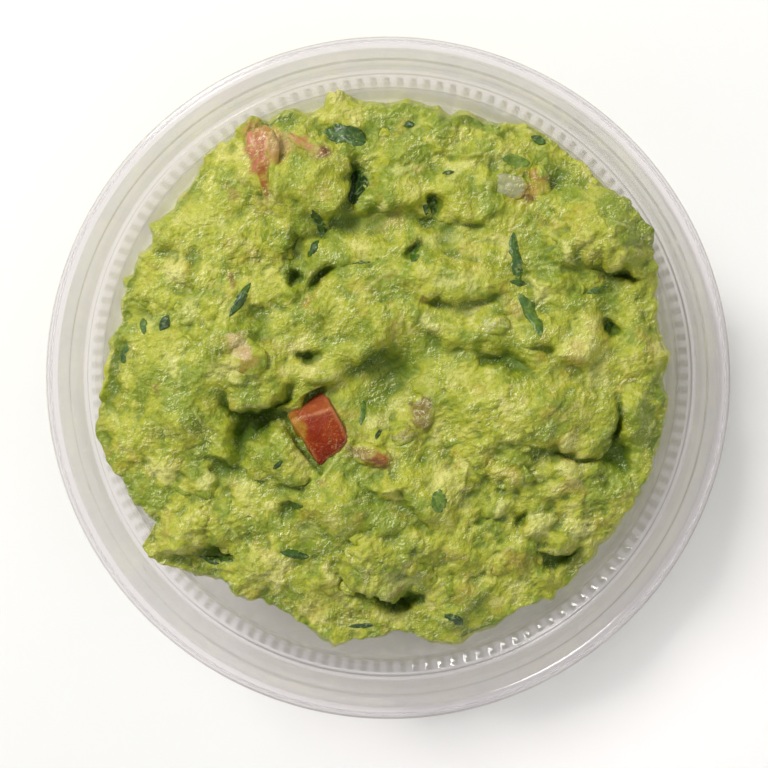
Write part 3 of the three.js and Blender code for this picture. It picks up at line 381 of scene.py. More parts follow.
DEEPEST = -0.4  # below this the clefts between lumps are filled up, to a third of their depth


def chopped(size, seed):
    """Tilted lumps packed at random, about size millimetres apart: their height, and a number for each."""
    ragged = 0.10 * grain(0.45 * size, seed + 1)
    u = (GX + HALF) / size + 0.22 * PUSH_X + ragged + 2
    v = (GY + HALF) / size + 0.22 * PUSH_Y - ragged + 2
    count = int(2 * HALF / size) + 8
    across, along, lift, tilt_x, tilt_y, number = np.random.default_rng(seed).random((6, count, count))
    i0, j0 = np.clip(u.astype(np.int32), 1, count - 2), np.clip(v.astype(np.int32), 1, count - 2)
    nearest = np.full((MAP, MAP), 9.0)
    height, tone = np.zeros((MAP, MAP)), np.zeros((MAP, MAP))
    for step in range(9):
        i, j = i0 + step % 3 - 1, j0 + step // 3 - 1
        dx, dy = u - i - across[j, i], v - j - along[j, i]
        away = dx * dx + dy * dy - 0.25 * lift[j, i]
        near = away < nearest
        nearest = np.where(near, away, nearest)
        slope = 1.3 * ((tilt_x[j, i] - 0.5) * dx + (tilt_y[j, i] - 0.5) * dy)
        height = np.where(near, lift[j, i] + slope - 0.9 * away, height)
        tone = np.where(near, number[j, i], tone)
    height = blurred(height, 0.06 * size)
    height = (height - height.mean()) / height.std()
    return np.where(height < DEEPEST, DEEPEST + 0.35 * (height - DEEPEST), height), tone


# Where the spoon left the paste smooth, and where it is chunky: x, y, half length, half width, turn
SMOOTH_AT = [
    (2, 2, 9, 6, 30), (-6, 4, 9, 4, 35), (6, 27, 20, 6, 6), (11, 32, 5, 5, 0), (20, 6, 8, 3.5, 0),
    (-9, 33, 4, 6, 10), (22, 11, 6, 4, 10), (-2, 31, 9, 3, 8), (14, 20, 9, 4, 8), (-13, 37, 4, 5, 0),
]
CHUNKY_AT = [
    (26, -24, 17, 11, 30), (0, -34, 15, 9, 0), (34, 24, 12, 9, 150), (-30, -24, 13, 10, 150),
    (-20, -12, 8, 6, 0), (16, -12, 9, 7, 20), (-36, 14, 8, 12, 0), (2, 41, 22, 5, 5), (-20, 20, 8, 6, 40),
]
SMOOTHED = blurred(patches(SMOOTH_AT, 1.1), 1.2)
CHUNKY = blurred(patches(CHUNKY_AT, 1.1), 2.0)
GRITTY = np.clip(0.55 + 0.45 * CHUNKY + 0.15 * grain(7, 504) - 0.75 * SMOOTHED, 0.08, 1.3)

CHUNKS_BIG, BIG_TONE = chopped(3.9, 631)
CHUNKS_MID, MID_TONE = chopped(2.2, 633)
LONG_STREAKS, FINE_STREAKS = smeared([grain(2.4, 601), grain(0.8, 602)])
FILM_LINE = np.exp(-((grain(8, 605) + 0.35 * grain(3, 606)) / 0.045) ** 2) * smooth(0.3, 1.1, grain(6, 607))
# The finest unevenness: height, size, seed
UNEVEN = [(0.13, 2.4, 641), (0.08, 1.15, 642), (0.045, 0.58, 643), (0.02, 0.34, 644)]


def around_pieces():
    """How much the paste climbs the sides of the vegetable pieces."""
    climb = np.zeros((MAP, MAP))
    for (cx, cy), (long, wide, high), turn, *_ in PIECES.values():
        reach = np.sqrt(in_ellipse(GX + 0.4 * PUSH_X, GY + 0.4 * PUSH_Y, cx, cy, long, wide, turn))
        away = (reach - 1) * wide
        near = np.exp(-((np.maximum(0, away - 0.1) / 1.5) ** 2)) * smooth(-1.3, 0.0, away)
        climb = np.maximum(climb, (0.36 + 0.2 * PUSH_X) * high * near)
    return climb


def fine_relief():
    """The fine form of the top: unevenness, lumps where it is chunky, and streaks where it was smoothed."""
    uneven = sum(height * grain(size, seed) for height, size, seed in UNEVEN)
    lumps = (0.12 + 0.85 * CHUNKY) * 0.24 * CHUNKS_BIG
    lumps += (0.5 + 0.5 * CHUNKY) * (1 - 0.6 * SMOOTHED) * 0.16 * CHUNKS_MID
    drawn = (0.05 + 0.12 * SMOOTHED) * LONG_STREAKS + 0.03 * FINE_STREAKS + 0.14 * FILM_LINE
    whole = (0.35 + 0.8 * GRITTY) * uneven + lumps + drawn
    return whole - blurred(whole, 6.0) + around_pieces()


DETAIL = fine_relief()

# ---------------- colours of the top, as maps

# Patches of the paste's own colours, the greener ones also painted shade where they lie in hollows: x, y,
# half length, half width, turn and, if it isn't 1, strength
PALE_AT = [(x, y, long, wide, turn, 1.0) for x, y, long, wide, turn, _ in CHUNKS] + [
    (-41.5, 11, 2, 1.4, 60, 0.7), (-37, 3.5, 1.4, 1.1, 70, 1), (-29, 27.6, 1.1, 2.2, 20, 0.8),
    (32.6, 6, 3.4, 2.7, 20, 0.6), (9.6, -16.4, 1.2, 0.9, 60, 1), (-1, 30.8, 1, 0.6, 10, 0.9),
    (-27.5, 2, 3.6, 1.6, 20, 0.6), (9.4, 24.6, 4.6, 1.2, 10, 0.7), (12, 17.4, 4.2, 1.3, 8, 0.7),
    (8, 10.2, 2.2, 1, 0, 0.8), (-5.5, 26, 3, 0.9, 8, 0.6), (25, -17, 3, 1.2, 0, 0.6),
    (2.5, -35, 4, 2, 20, 0.5), (12.5, 1, 3, 1.2, 170, 0.5), (-26, -19, 4, 1.2, 150, 0.6),
    (19, 38.6, 3, 1.4, 10, 0.5), (12.4, 37.2, 3.2, 1.3, 5, 0.8), (3, 36.6, 3, 1, 5, 0.7),
    (-14, -26, 2.4, 1.6, 30, 0.5), (36.5, 1.5, 3.4, 1.4, 80, 0.5), (-34, 12.4, 2.4, 1.6, 60, 0.5),
]
AMBER_AT = [
    (32.2, -18.6, 2, 2.6, 80, 0.6), (21.5, -15.8, 2.2, 1.6, 20, 0.5), (11.2, -15.2, 1.6, 1.2, 0, 0.6),
    (14.2, -36.6, 2.2, 1.6, 0, 0.6), (32.2, 3.6, 2.4, 1.8, 20, 0.6), (31.6, -13.4, 1.8, 1.3, 20, 0.6),
    (22.2, -31.2, 2.6, 1.8, 10, 0.7), (0.6, 28, 3.2, 2, 5, 0.55), (-2.2, 25.6, 0.9, 0.5, 10, 0.8),
    (12.4, -38.4, 2.2, 1.6, 0, 0.45), (33, 6.4, 1.8, 1.5, 0, 0.5), (-13.4, 13.6, 0.8, 0.7, 0, 0.9),
    (1.7, 9.7, 0.4, 1.6, 0, 0.5), (-11, -17.7, 1, 0.7, 0, 0.6), (0.6, 13.7, 0.5, 1.1, 10, 0.7),
    (27.8, -5.4, 2.2, 1.4, 10, 0.5), (44.2, 6.6, 1.2, 3, 5, 0.4), (26.5, 27.4, 2, 1.6, 0, 0.4),
    (-18, -34.5, 1.6, 1, 30, 0.4),
]
BROWN_AT = [
    (-26.7, 17.3, 0.9, 1.1, 20, 0.9), (-27.8, 34, 0.8, 1.1, 20, 0.6), (-27, 31.8, 0.7, 1, 20, 0.6),
    (-22.9, 24.9, 0.3, 0.3, 0, 1), (7.8, 14.2, 2.4, 0.6, 178, 0.8), (-40, -2.4, 0.4, 0.6, 0, 0.9),
    (1.5, -36.8, 1.3, 0.9, 60, 0.55), (-7.4, -42.4, 1.6, 2, 0, 0.4), (35.9, 21.6, 1.2, 0.9, 0, 0.4),
    (-11.7, -17.7, 0.6, 0.4, 0, 0.9), (3.2, -21.2, 0.4, 0.4, 0, 0.7), (12.2, -15.9, 0.5, 0.4, 0, 0.6),
]
# Greener patches: most lie in hollows, caves and under folds, and there they are painted shade as well as the
# paste's colour.
GREEN_AT = [
    (-12.5, 39.8, 3.6, 2, 150, 0.6), (-8, 30, 3.2, 4, 0, 0.8), (-22, -7, 6, 3, 170, 1),
    (26, 38, 4, 3, 140, 0.5), (22, 3.6, 5, 1.6, 178, 0.7), (38.6, -5, 1.6, 6, 0, 0.8),
    (2, 3, 7.5, 4.2, 30, 0.6), (-12, 20, 7, 2.4, 20, 0.8), (8.6, -22.6, 3, 3, 20, 0.5),
    (-16, -19, 7, 1.6, 175, 0.6), (32, -29, 4, 2, 30, 0.6), (0, -39, 8, 2, 175, 0.9),
    (-27, -31.5, 5, 1.6, 175, 0.7), (44, 14, 2.4, 3, 0, 0.5), (-41, 24, 2, 2, 0, 0.5), (6, -1, 4, 5, 0, 0.45),
    (-33, -14, 4, 1.6, 150, 0.6), (-3, -5, 4, 4, 0, 0.6),
]
# Tints of the vegetable pieces, which also run into the paste around them
ROSE_AT = [
    (-22.4, 39.8, 4.4, 2.6, 98), (-20, 41, 4.2, 2.6, 130, 0.7), (-14.8, 41.4, 2.2, 0.7, 155, 0.8),
    (24.4, 33, 1.6, 1.6, 0, 0.6),
]
FILM_AT = [(-18, 40.9, 3, 1.9, 160, 0.6), (-25.3, 6.5, 2.6, 1.4, 110, 0.9), (-12.8, 39.8, 2.4, 0.8, 150, 0.5)]
ORANGE_AT = [(-20.7, 34.6, 3.8, 1.1, 100), (25.4, 35.4, 2.4, 0.8, 165, 0.6), (-0.9, -13.4, 2.2, 1.2, 160)]
OCHRE_AT = [
    (-23.6, 3.2, 2.2, 1.6, 60, 0.8), (-2.8, -12.6, 3.6, 1.7, 165, 0.9), (26.6, 34.2, 1.2, 1.8, 20, 0.7),
]
DARK_AT = [
    (-10.8, 39, 1.9, 1.3, 130), (24.5, 31.6, 1.1, 0.8, 0), (-1.8, -14.2, 3.2, 1, 162, 0.8),
    (27.8, 34.8, 0.5, 1.6, 20, 0.6),
]
UMBER_AT = [(6.3, -5.2, 3.4, 2.2, 85, 0.9), (2.8, -9.2, 2.2, 1.1, 20, 0.6), (-5.2, -12.4, 1.8, 1.3, 0, 0.9)]
GREY_AT = (20.7, 33.7, 3.1, 2.2, 176)  # the grey of the onion piece alone
NET_AT = [
    (6.6, -4.8, 2.9, 2, 85), (18.7, 10, 2.2, 1.8, 15), (-25.3, 6, 3, 2, 110, 0.5),
    (2.8, -9.2, 2.2, 1.2, 20, 0.7), (-5.4, -12.2, 1.6, 1.2, 0, 0.7),
]
# Each map's patches, how soft their edges are, and how far these are pushed about
PATCHES = {
    "pale": (PALE_AT, 0.9, 0.55), "amber": (AMBER_AT, 1.1, 0.55), "brown": (BROWN_AT, 1.0, 0.55),
    "green": (GREEN_AT, 1.2, 0.55), "rose": (ROSE_AT, 0.8, 0.35), "film": (FILM_AT, 0.9, 0.4),
    "orange": (ORANGE_AT, 0.9, 0.35), "ochre": (OCHRE_AT, 1.0, 0.35), "dark": (DARK_AT, 0.9, 0.3),
    "umber": (UMBER_AT, 0.9, 0.45), "net": (NET_AT, 0.8, 0.4),
}
PALE_MOST = 0.86
SURFACE_MAPS = {key: patches(*how) for key, how in PATCHES.items()}
SURFACE_MAPS["pale"] *= PALE_MOST
SURFACE_MAPS["clump"] = blurred(0.6 * BIG_TONE + 0.4 * MID_TONE, 0.35)
SURFACE_MAPS["streak"] = FINE_STREAKS + 0.6 * LONG_STREAKS


def surface_values(x, y):
    """What the materials read at each point of the paste and of the pieces in it."""
    return {key: look_up(field, x, y) for key, field in SURFACE_MAPS.items()}


# ---------------- meshes


def make_mesh(name, points, faces, attributes):
    """A smooth Blender object from points in millimetres, equal-sided faces and values at the points."""
    points = np.asarray(points, np.float32) * MM
    faces = np.asarray(faces, np.int32)
    mesh = bpy.data.meshes.new(name)
    mesh.vertices.add(len(points))
    mesh.vertices.foreach_set("co", points.ravel())
    mesh.loops.add(faces.size)
    mesh.loops.foreach_set("vertex_index", faces.ravel())
    mesh.polygons.add(len(faces))
    mesh.polygons.foreach_set("loop_start", np.arange(0, faces.size, faces.shape[1], dtype=np.int32))
    mesh.update(calc_edges=True)
    mesh.validate()
    mesh.polygons.foreach_set("use_smooth", np.ones(len(mesh.polygons), bool))
    for key, values in attributes.items():
        layer = mesh.attributes.new(key, "FLOAT", "POINT")
        layer.data.foreach_set("value", np.asarray(values, np.float32))
    obj = bpy.data.objects.new(name, mesh)
    bpy.context.scene.collection.objects.link(obj)
    return obj


def triangles(quads):
    """Each quad cut in two."""
    return np.concatenate([quads[:, [0, 1, 2]], quads[:, [0, 2, 3]]])


def grid_quads(shape):
    """The vertex numbers of a grid's quads, and of its rim in turn."""
    number = np.arange(shape[0] * shape[1]).reshape(shape)
    quads = np.stack([number[:-1, :-1], number[1:, :-1], number[1:, 1:], number[:-1, 1:]], -1).reshape(-1, 4)
    rim = np.concatenate([number[:-1, 0], number[-1, :-1], number[1:, -1][::-1], number[0, 1:][::-1]])
    return quads, rim


def ring_quads(upper, lower):
    """Quads between two closed rings of vertex numbers, facing out where the rings run counterclockwise."""
    return np.stack([upper, lower, np.roll(lower, -1), np.roll(upper, -1)], axis=1)


def ball(splits):
    """A unit sphere of triangles: an icosahedron, each side halved splits times."""
    g = (1 + math.sqrt(5)) / 2
    points = [(-1, g, 0), (1, g, 0), (-1, -g, 0), (1, -g, 0), (0, -1, g), (0, 1, g), (0, -1, -g), (0, 1, -g),
              (g, 0, -1), (g, 0, 1), (-g, 0, -1), (-g, 0, 1)]
    faces = [(0, 11, 5), (0, 5, 1), (0, 1, 7), (0, 7, 10), (0, 10, 11), (1, 5, 9), (5, 11, 4), (11, 10, 2),
             (10, 7, 6), (7, 1, 8), (3, 9, 4), (3, 4, 2), (3, 2, 6), (3, 6, 8), (3, 8, 9), (4, 9, 5),
             (2, 4, 11), (6, 2, 10), (8, 6, 7), (9, 8, 1)]
    points = [np.array(p) / math.hypot(1, g) for p in points]
    for _ in range(splits):
        middles, finer = {}, []

        def middle(a, b):
            key = (min(a, b), max(a, b))
            if key not in middles:
                m = points[a] + points[b]
                middles[key] = len(points)
                points.append(m / np.linalg.norm(m))
            return middles[key]

        for a, b, c in faces:
            ab, bc, ca = middle(a, b), middle(b, c), middle(c, a)
            finer += [(a, ab, ca), (b, bc, ab), (c, ca, bc), (ab, bc, ca)]
        faces = finer
    return np.array(points), np.array(faces)


# ---------------- the heap

CELLS = 280  # of the top's grid, each way
SIDE_STEPS = 12
SIDE_ROUGH = [(3.1, 0.55, 701), (1.5, 0.35, 702)]  # size, amount, seed
TINTS_END = (30.0, 36.0)  # the heights between which the top's tints fade out down the side
SHOULDER_LOW = TUB["shoulder_z"] - TUB["shoulder_fall"]
INTO_WALL = 0.2  # how far the paste's side reaches into the plastic
SIDE_GAP, SIDE_LEAN, LEAST_CONTACT = 0.35, 0.12, 3.6  # as the solid's side
LEDGE_SLOPE = (TUB["shoulder_outer"] - TUB["shoulder_inner"]) / TUB["shoulder_fall"]

# The tub's inside from its floor to its shoulder: radius, height
INSIDE_WALL = [
    (TUB["base_radius"] - TUB["wall"] - 1.2, TUB["wall"]),
    (TUB["base_radius"] - TUB["wall"], TUB["wall"] + 1.2),
    (TUB["shoulder_inner"], SHOULDER_LOW),
    (TUB["shoulder_outer"], TUB["shoulder_z"]),
]
# The side's last rings, down the tub's rounded corner: radius, height
FOOT_RINGS = [(45.5, 2.6), (45.1, 1.6), (44.3, 1.0), (43.4, TUB["wall"] - INTO_WALL)]


def inside_radius(z):
    """The radius of the tub's inside at a height."""
    wall = np.array(INSIDE_WALL)
    return np.interp(z, wall[:, 1], wall[:, 0])


def wall_height(radius):
    """The height at which the flared wall has a radius."""
    (r0, z0), (r1, z1) = INSIDE_WALL[1:3]
    return z0 + (z1 - z0) * (radius - r0) / (r1 - r0)


def heap_grid():
    """Columns and rows of a grid that is square in the middle and round at its edge."""
    a, b = np.meshgrid(np.linspace(-1, 1, CELLS + 1), np.linspace(-1, 1, CELLS + 1), indexing="ij")
    wide = np.abs(a) > np.abs(b)
    safe_a, safe_b = np.where(a == 0, 1, a), np.where(b == 0, 1, b)
    r = np.where(wide, a, b)
    angle = np.where(wide, math.pi / 4 * b / safe_a, math.pi / 2 - math.pi / 4 * a / safe_b)
    x, y = r * np.cos(angle), r * np.sin(angle)
    spread = edge_radius(np.arctan2(y, x))
    return x * spread, y * spread


# Fraying of the folds and pits: size, amount, seed
FRAY = [(2.6, 0.5, 720), (1.5, 0.4, 721), (0.8, 0.2, 722)]


def macro_map():
    """The solid's height on the maps, its edges slightly frayed."""
    coarse = np.linspace(-HALF, HALF, MAP // 2)
    cx, cy = np.meshgrid(coarse, coarse)
    z = surface_z(cx + layered(cx, cy, FRAY), cy + layered(cx, cy, FRAY, WARP_ACROSS))
    u = np.clip((AXIS + HALF) / (coarse[1] - coarse[0]), 0, MAP // 2 - 1.001)
    i = u.astype(int)
    a = u - i
    z = z[:, i] * (1 - a) + z[:, i + 1] * a
    return z[i] * (1 - a[:, None]) + z[i + 1] * a[:, None]


# Places where the folds and pits stay sharp; elsewhere they are soft
SHARP_AT = [
    (-22, -6, 9, 5, 170), (-28, -15, 6, 3, 155), (-13.5, 3.8, 2.6, 2.6, 0), (-14, 18.5, 6, 3, 10),
    (7.4, 31, 2.4, 3, 0), (4.7, 21.8, 2.4, 3, 0), (39, 9.4, 2.4, 2.6, 0), (42, 18.2, 4, 2.2, 0),
    (19.8, 2.4, 5, 2.2, 0), (2.6, -39.4, 6, 3, 0), (29.4, -32.4, 4.4, 3, 0, 0.25),
    (24.2, -24.9, 2.4, 2.4, 0, 0.6), (17.9, -25.2, 2.2, 2.2, 0),
]
SOFT_FOLDS = {1: 0.7, 6: 0.6, 7: 0.25}  # how crisp these folds are, by their place in FOLDS; the others are 1


def fold_edges():
    """A map that is 1 along the lips of the folds."""
    total = np.zeros((MAP, MAP))
    for n, (*_, line) in enumerate(FOLDS):
        d, t = along_line(GX, GY, line)
        lip = smooth(2.6, 1.0, np.abs(d)) * smooth(0, 0.15, t) * smooth(0, 0.15, 1 - t)
        total = np.maximum(total, SOFT_FOLDS.get(n, 1) * lip)
    return total


MACRO = macro_map()
CRISP, SOFTENED = 0.25, 0.65  # how far the form is smoothed where it is sharp, and elsewhere
SHARP = blurred(np.maximum(patches(SHARP_AT, 0.8), fold_edges()), 0.5)
SOFT = SHARP * blurred(MACRO, CRISP) + (1 - SHARP) * blurred(MACRO, SOFTENED)
SLOPE_Y, SLOPE_X = np.gradient(blurred(SOFT, 0.7), PITCH)
LEAN_ABOVE, LEAN_BELOW = 2.2, 0.8  # how far from a fold's line its high and its low side still lean


def overhang():
    """How far the high side of each fold leans over its low side, along X and along Y."""
    push_x, push_y = np.zeros((MAP, MAP)), np.zeros((MAP, MAP))
    for n, (_, lift, drop, *_, line) in enumerate(FOLDS):
        d, t = along_line(GX, GY, line)
        near = smooth(0, 0.25, t) * smooth(0, 0.25, 1 - t) * (0.12 + 0.2 * SHARP) * SOFT_FOLDS.get(n, 1)
        amount = (lift + drop) * near * np.exp(-((d / np.where(d > 0, LEAN_ABOVE, LEAN_BELOW)) ** 2))
        gy, gx = np.gradient(d, PITCH)
        size = np.maximum(0.2, np.hypot(gx, gy))
        push_x -= amount * gx / size
        push_y -= amount * gy / size
    return blurred(push_x, 0.4), blurred(push_y, 0.4)


LEAN_X, LEAN_Y = overhang()

# The cut cube stands clear of the paste: how far, how deep the paste may be pushed down for it, and how
# steeply the paste rises again beside it
CUBE_CLEAR, CUBE_DEEP, CUBE_RISE = 0.3, 2.4, 2.6


def beside_cube():
    """The greatest height of the paste over and around the cube, so that the cube's upper sides show."""
    up, low = np.array(CUBE_UPPER), np.array(CUBE_LOWER)
    top = np.full((MAP, MAP), np.inf)
    left = low + (up - low) * np.array([1, 0, 0.75, 1])[:, None]
    for corners in (up, [up[0], up[1], low[1], low[0]], [up[1], up[2], left[2], left[1]]):
        corners = np.array(corners)
        across, along, base = np.linalg.lstsq(np.c_[corners[:, :2], np.ones(4)], corners[:, 2], rcond=None)[0]
        top = np.minimum(top, across * GX + along * GY + base)
    outline = np.array([up[3], up[0], low[0], low[1], left[2], up[2]])[:, :2]
    outside = np.full((MAP, MAP), -np.inf)
    for (x0, y0), (x1, y1) in zip(outline, np.roll(outline, -1, axis=0)):
        length = math.hypot(x1 - x0, y1 - y0)
        outside = np.maximum(outside, ((y1 - y0) * (GX - x0) - (x1 - x0) * (GY - y0)) / length)
    return blurred(np.maximum(top - CUBE_CLEAR, SOFT - CUBE_DEEP) + CUBE_RISE * np.maximum(0, outside), 0.12)


DETAIL = np.minimum(DETAIL, beside_cube() - SOFT)
WHOLE = SOFT + DETAIL
# These three maps carry painted shade: the paste's colour is made darker and greener in cavities, clefts and
# deep hollows. DEPTH also thins the wet coat.
CAVITY = blurred(WHOLE, 0.2) - blurred(WHOLE, 1.3)
CREVICE = blurred(WHOLE, 0.12) - blurred(WHOLE, 0.6)
DEPTH = blurred(WHOLE, 0.6) - blurred(WHOLE, 4.5)


def top_point(x, y):
    """The dressed surface over (x, y): the solid's top, leaning at folds, with fine relief added."""
    z = look_up(SOFT, x, y)
    gx, gy = look_up(SLOPE_X, x, y), look_up(SLOPE_Y, x, y)
    size = np.sqrt(1 + gx * gx + gy * gy)
    d = look_up(DETAIL, x, y)
    px = x + look_up(LEAN_X, x, y) - d * gx / size
    py = y + look_up(LEAN_Y, x, y) - d * gy / size
    return np.stack([px, py, z + d / size], axis=-1)


RAGGED = [(3.3, 0.55, 711), (1.5, 0.35, 712), (0.8, 0.15, 713)]  # size, amount, seed


def ragged_edge(x, y):
    """How far the top's outermost band is pushed out or in, in small lumps."""
    radius = np.hypot(x, y)
    band = smooth(3.0, 0.2, edge_radius(np.arctan2(y, x)) - radius)
    push = band * layered(x, y, RAGGED)
    return np.stack([push * x, push * y, 0.5 * push * radius], axis=-1) / np.maximum(1, radius)[:, None]


def heap():
    """The whole mash: its dressed top, its side down to the tub's wall, and its foot on the tub's floor."""
    x, y = heap_grid()
    quads, edge = grid_quads(x.shape)
    x, y = x.ravel(), y.ravel()
    top = top_point(x, y) + ragged_edge(x, y)
    angle = np.arctan2(y[edge], x[edge])
    radius = edge_radius(angle)
    wall_top = TUB["shoulder_inner"] - SIDE_GAP
    over = radius > wall_top
    contact_r = np.where(over, wall_top, radius + SIDE_LEAN * (wall_top - radius))
    contact = np.where(over, SHOULDER_LOW, np.maximum(LEAST_CONTACT, wall_height(contact_r + SIDE_GAP)))
    edge_z = top[edge, 2]
    edge_r = np.hypot(top[edge, 0], top[edge, 1])
    rings = []
    for k in range(1, SIDE_STEPS + 1):
        t = (k / SIDE_STEPS) ** 1.6
        z = edge_z + (contact - edge_z) * t
        r = edge_r + (inside_radius(contact) + INTO_WALL - edge_r) * t ** 3
        rough = layered(angle * radius, z, SIDE_ROUGH)
        bulge = (rough + 0.7) * math.sin(math.pi * min(1, 2.2 * t)) + rough * (t > 0.45) * (1 - t)
        ledge = TUB["shoulder_inner"] + np.maximum(0, z - SHOULDER_LOW) * LEDGE_SLOPE
        r = np.minimum(r + bulge * (1 - over), np.where(over, ledge, inside_radius(z)) + INTO_WALL)
        rings.append((r, z))
    middle = 0.5 * (contact + FOOT_RINGS[0][1])
    rings.append((inside_radius(middle) + INTO_WALL, middle))
    rings += [(np.full(len(edge), r + INTO_WALL), np.full(len(edge), z)) for r, z in FOOT_RINGS]
    side = [np.stack([r * np.cos(angle), r * np.sin(angle), z], axis=-1) for r, z in rings]
    points = np.concatenate([top, *side, [[0, 0, FOOT_RINGS[-1][1]]]])
    turns = [edge] + [len(top) + k * len(edge) + np.arange(len(edge)) for k in range(len(rings))]
    faces = [quads] + [ring_quads(upper, lower) for upper, lower in zip(turns, turns[1:])]
    fan = np.stack([turns[-1], np.full(len(edge), len(points) - 1), np.roll(turns[-1], -1)], axis=1)
    tris = np.concatenate([triangles(np.concatenate(faces)), fan])
    on_side = np.arange(len(points)) >= len(top)
    x, y = np.append(x, points[len(top):, 0]), np.append(y, points[len(top):, 1])
    values = surface_values(x, y)
    down = np.where(on_side, smooth(*TINTS_END, points[:, 2]), 1)
    for key in values:
        usual = 0.5 if key == "clump" else 0.0
        values[key] = usual + (values[key] - usual) * down
    # Maps for the painted shade in hollows and clefts; none on the side.
    for key, field in (("cavity", CAVITY), ("crevice", CREVICE), ("depth", DEPTH)):
        values[key] = np.where(on_side, 0, look_up(field, x, y))
    return make_mesh("guacamole_heap", points, tris, values)


# ---------------- bits, leaves and vegetable pieces

BIT_TRIES = 1500
BIT_COUNT = 90
BIT_CUTS = 6
BIT_SIZE, BIT_MORE = 0.9, 1.0  # the least half width before the cuts, and how much more it can be
BIT_SUNK = 0.6  # how deep the middles lie, by half width
BITS_WITHIN = 0.965  # of the heap's radius
CUBE_ROOM = (-11.9, -8.0, 7.6, 6.4, 130)  # the ellipse around the cube where no bits lie


def mash_bits():
    """Small angular lumps of avocado, more than half sunk in the paste."""
    rng = np.random.default_rng(71)
    shape, tris = ball(2)
    angle = rng.uniform(0, 2 * math.pi, BIT_TRIES)
    reach = BITS_WITHIN * np.sqrt(rng.uniform(0, 1, BIT_TRIES)) * edge_radius(angle)
    x, y = reach * np.cos(angle), reach * np.sin(angle)
    inside_piece = in_ellipse(x, y, *CUBE_ROOM) < 1
    for (cx, cy), (long, wide, _), turn, *_ in PIECES.values():
        inside_piece |= in_ellipse(x, y, cx, cy, long + 1.0, wide + 1.0, turn) < 1
    wanted = rng.uniform(0, 1, BIT_TRIES) < 0.03 + 0.5 * look_up(CHUNKY, x, y)
    keep = np.flatnonzero(wanted & ~inside_piece)[:BIT_COUNT]
    points, faces, tones = [], [], []
    for n, k in enumerate(keep):
        size = BIT_SIZE + BIT_MORE * rng.beta(1.2, 2.2)
        local = shape.copy()
        for _ in range(BIT_CUTS):
            away = rng.normal(0, 1, 3)
            away /= np.linalg.norm(away)
            local -= np.maximum(0, local @ away - rng.uniform(0.45, 0.8))[:, None] * away
        local *= size * np.array([1 + 0.6 * rng.random(), 1.0, 0.8])
        local += 0.10 * size * np.sin(local @ rng.normal(0, 3.0, (3, 3)) / size)
        turn = rng.uniform(0, math.pi)
        c, s = math.cos(turn), math.sin(turn)
        local[:, :2] = local[:, :2] @ np.array([[c, s], [-s, c]])
        centre = top_point(x[k:k + 1], y[k:k + 1])[0] - [0, 0, BIT_SUNK * size]
        points.append(local + centre)
        faces.append(tris + n * len(shape))
        tones.append(np.full(len(shape), 0.2 + 0.5 * rng.random()))
    values = {"clump": np.concatenate(tones)}
    return make_mesh("mash_bits", np.concatenate(points), np.concatenate(faces), values)


# Herb leaves that show: x, y, half length, half width, turn, curl, brightness
HERBS = [
    (-7.2, 42.4, 4, 1.9, 165, 0.9, 0.35), (-9, 43.4, 1.8, 1, 20, 0.6, 0.45), (-5.4, 33.8, 3, 2.2, 80, 0.8, 0),
    (-12.5, 27.2, 2.7, 0.7, 105, 0.5, 0.25), (-25.4, 14, 3.4, 0.8, 58, 0.7, 0.3),
    (22.3, 21.2, 4.5, 1.25, 97, 0.5, 0.45), (24.8, 11.6, 4.2, 1.3, 118, 0.7, 0.6),
    (22.4, 37.9, 2.6, 1.3, 170, 0.6, 0.8), (-38.8, 9.8, 1.6, 0.9, 60, 0.6, 0.1),
    (-46.6, 4, 1.9, 0.9, 75, 0.5, 0.4), (-30.6, -31.8, 3.4, 1.1, 172, 0.5, 0.15),
    (-16.2, -30.8, 2.6, 0.9, 170, 0.7, 0.3), (11.6, -42.6, 2, 1.2, 150, 0.6, 0.2),
    (9.2, -20.8, 1.4, 2.2, 15, 0.6, 0.7), (3.6, 44.2, 1, 0.6, 10, 0.5, 0.3),
    (26.1, 41.6, 1.4, 0.7, 150, 0.5, 0.4), (22.6, 17.1, 1.5, 0.6, 170, 0.5, 0.25),
    (36.5, 15.7, 2.1, 0.6, 15, 0.6, 0.6), (-4.5, 20.9, 1.7, 0.5, 5, 0.5, 0.15),
    (-4.7, -44.2, 2.4, 0.5, 5, 0.4, 0.1), (-4.2, -5.6, 2.3, 0.6, 84, 0.5, 0.7),
    (-1.4, -9.2, 0.9, 0.5, 60, 0.4, 0.1), (7.5, 30.6, 1.5, 1.1, 60, 0.6, 0.1),
    (10.5, 35.9, 1.1, 0.35, 10, 0.4, 0.2), (-12.9, 22.9, 1.8, 0.8, 60, 0.6, 0.3),
    (4.8, 21.8, 0.9, 1.6, 160, 0.6, 0.45), (-18.8, -14.4, 1.2, 0.5, 40, 0.6, 0.2),
    (38.6, 9.4, 0.9, 0.7, 40, 0.5, 0.2), (-15.8, -21.9, 1.3, 0.6, 10, 0.5, 0.35),
    (-42.8, 9.2, 0.8, 1.6, 10, 0.5, 0.5),
]
LEAF_ROWS, LEAF_COLUMNS = 26, 10
LEAF_THICK = 0.14
LEAF_LIFT = 0.1  # of its middle over the paste
LEAF_RAGGED = [(1.5, 0.34, 41), (0.6, 0.16, 40)]  # size, amount, seed
CRINKLE = [(1.1, 0.12, 42), (0.5, 0.04, 43)]


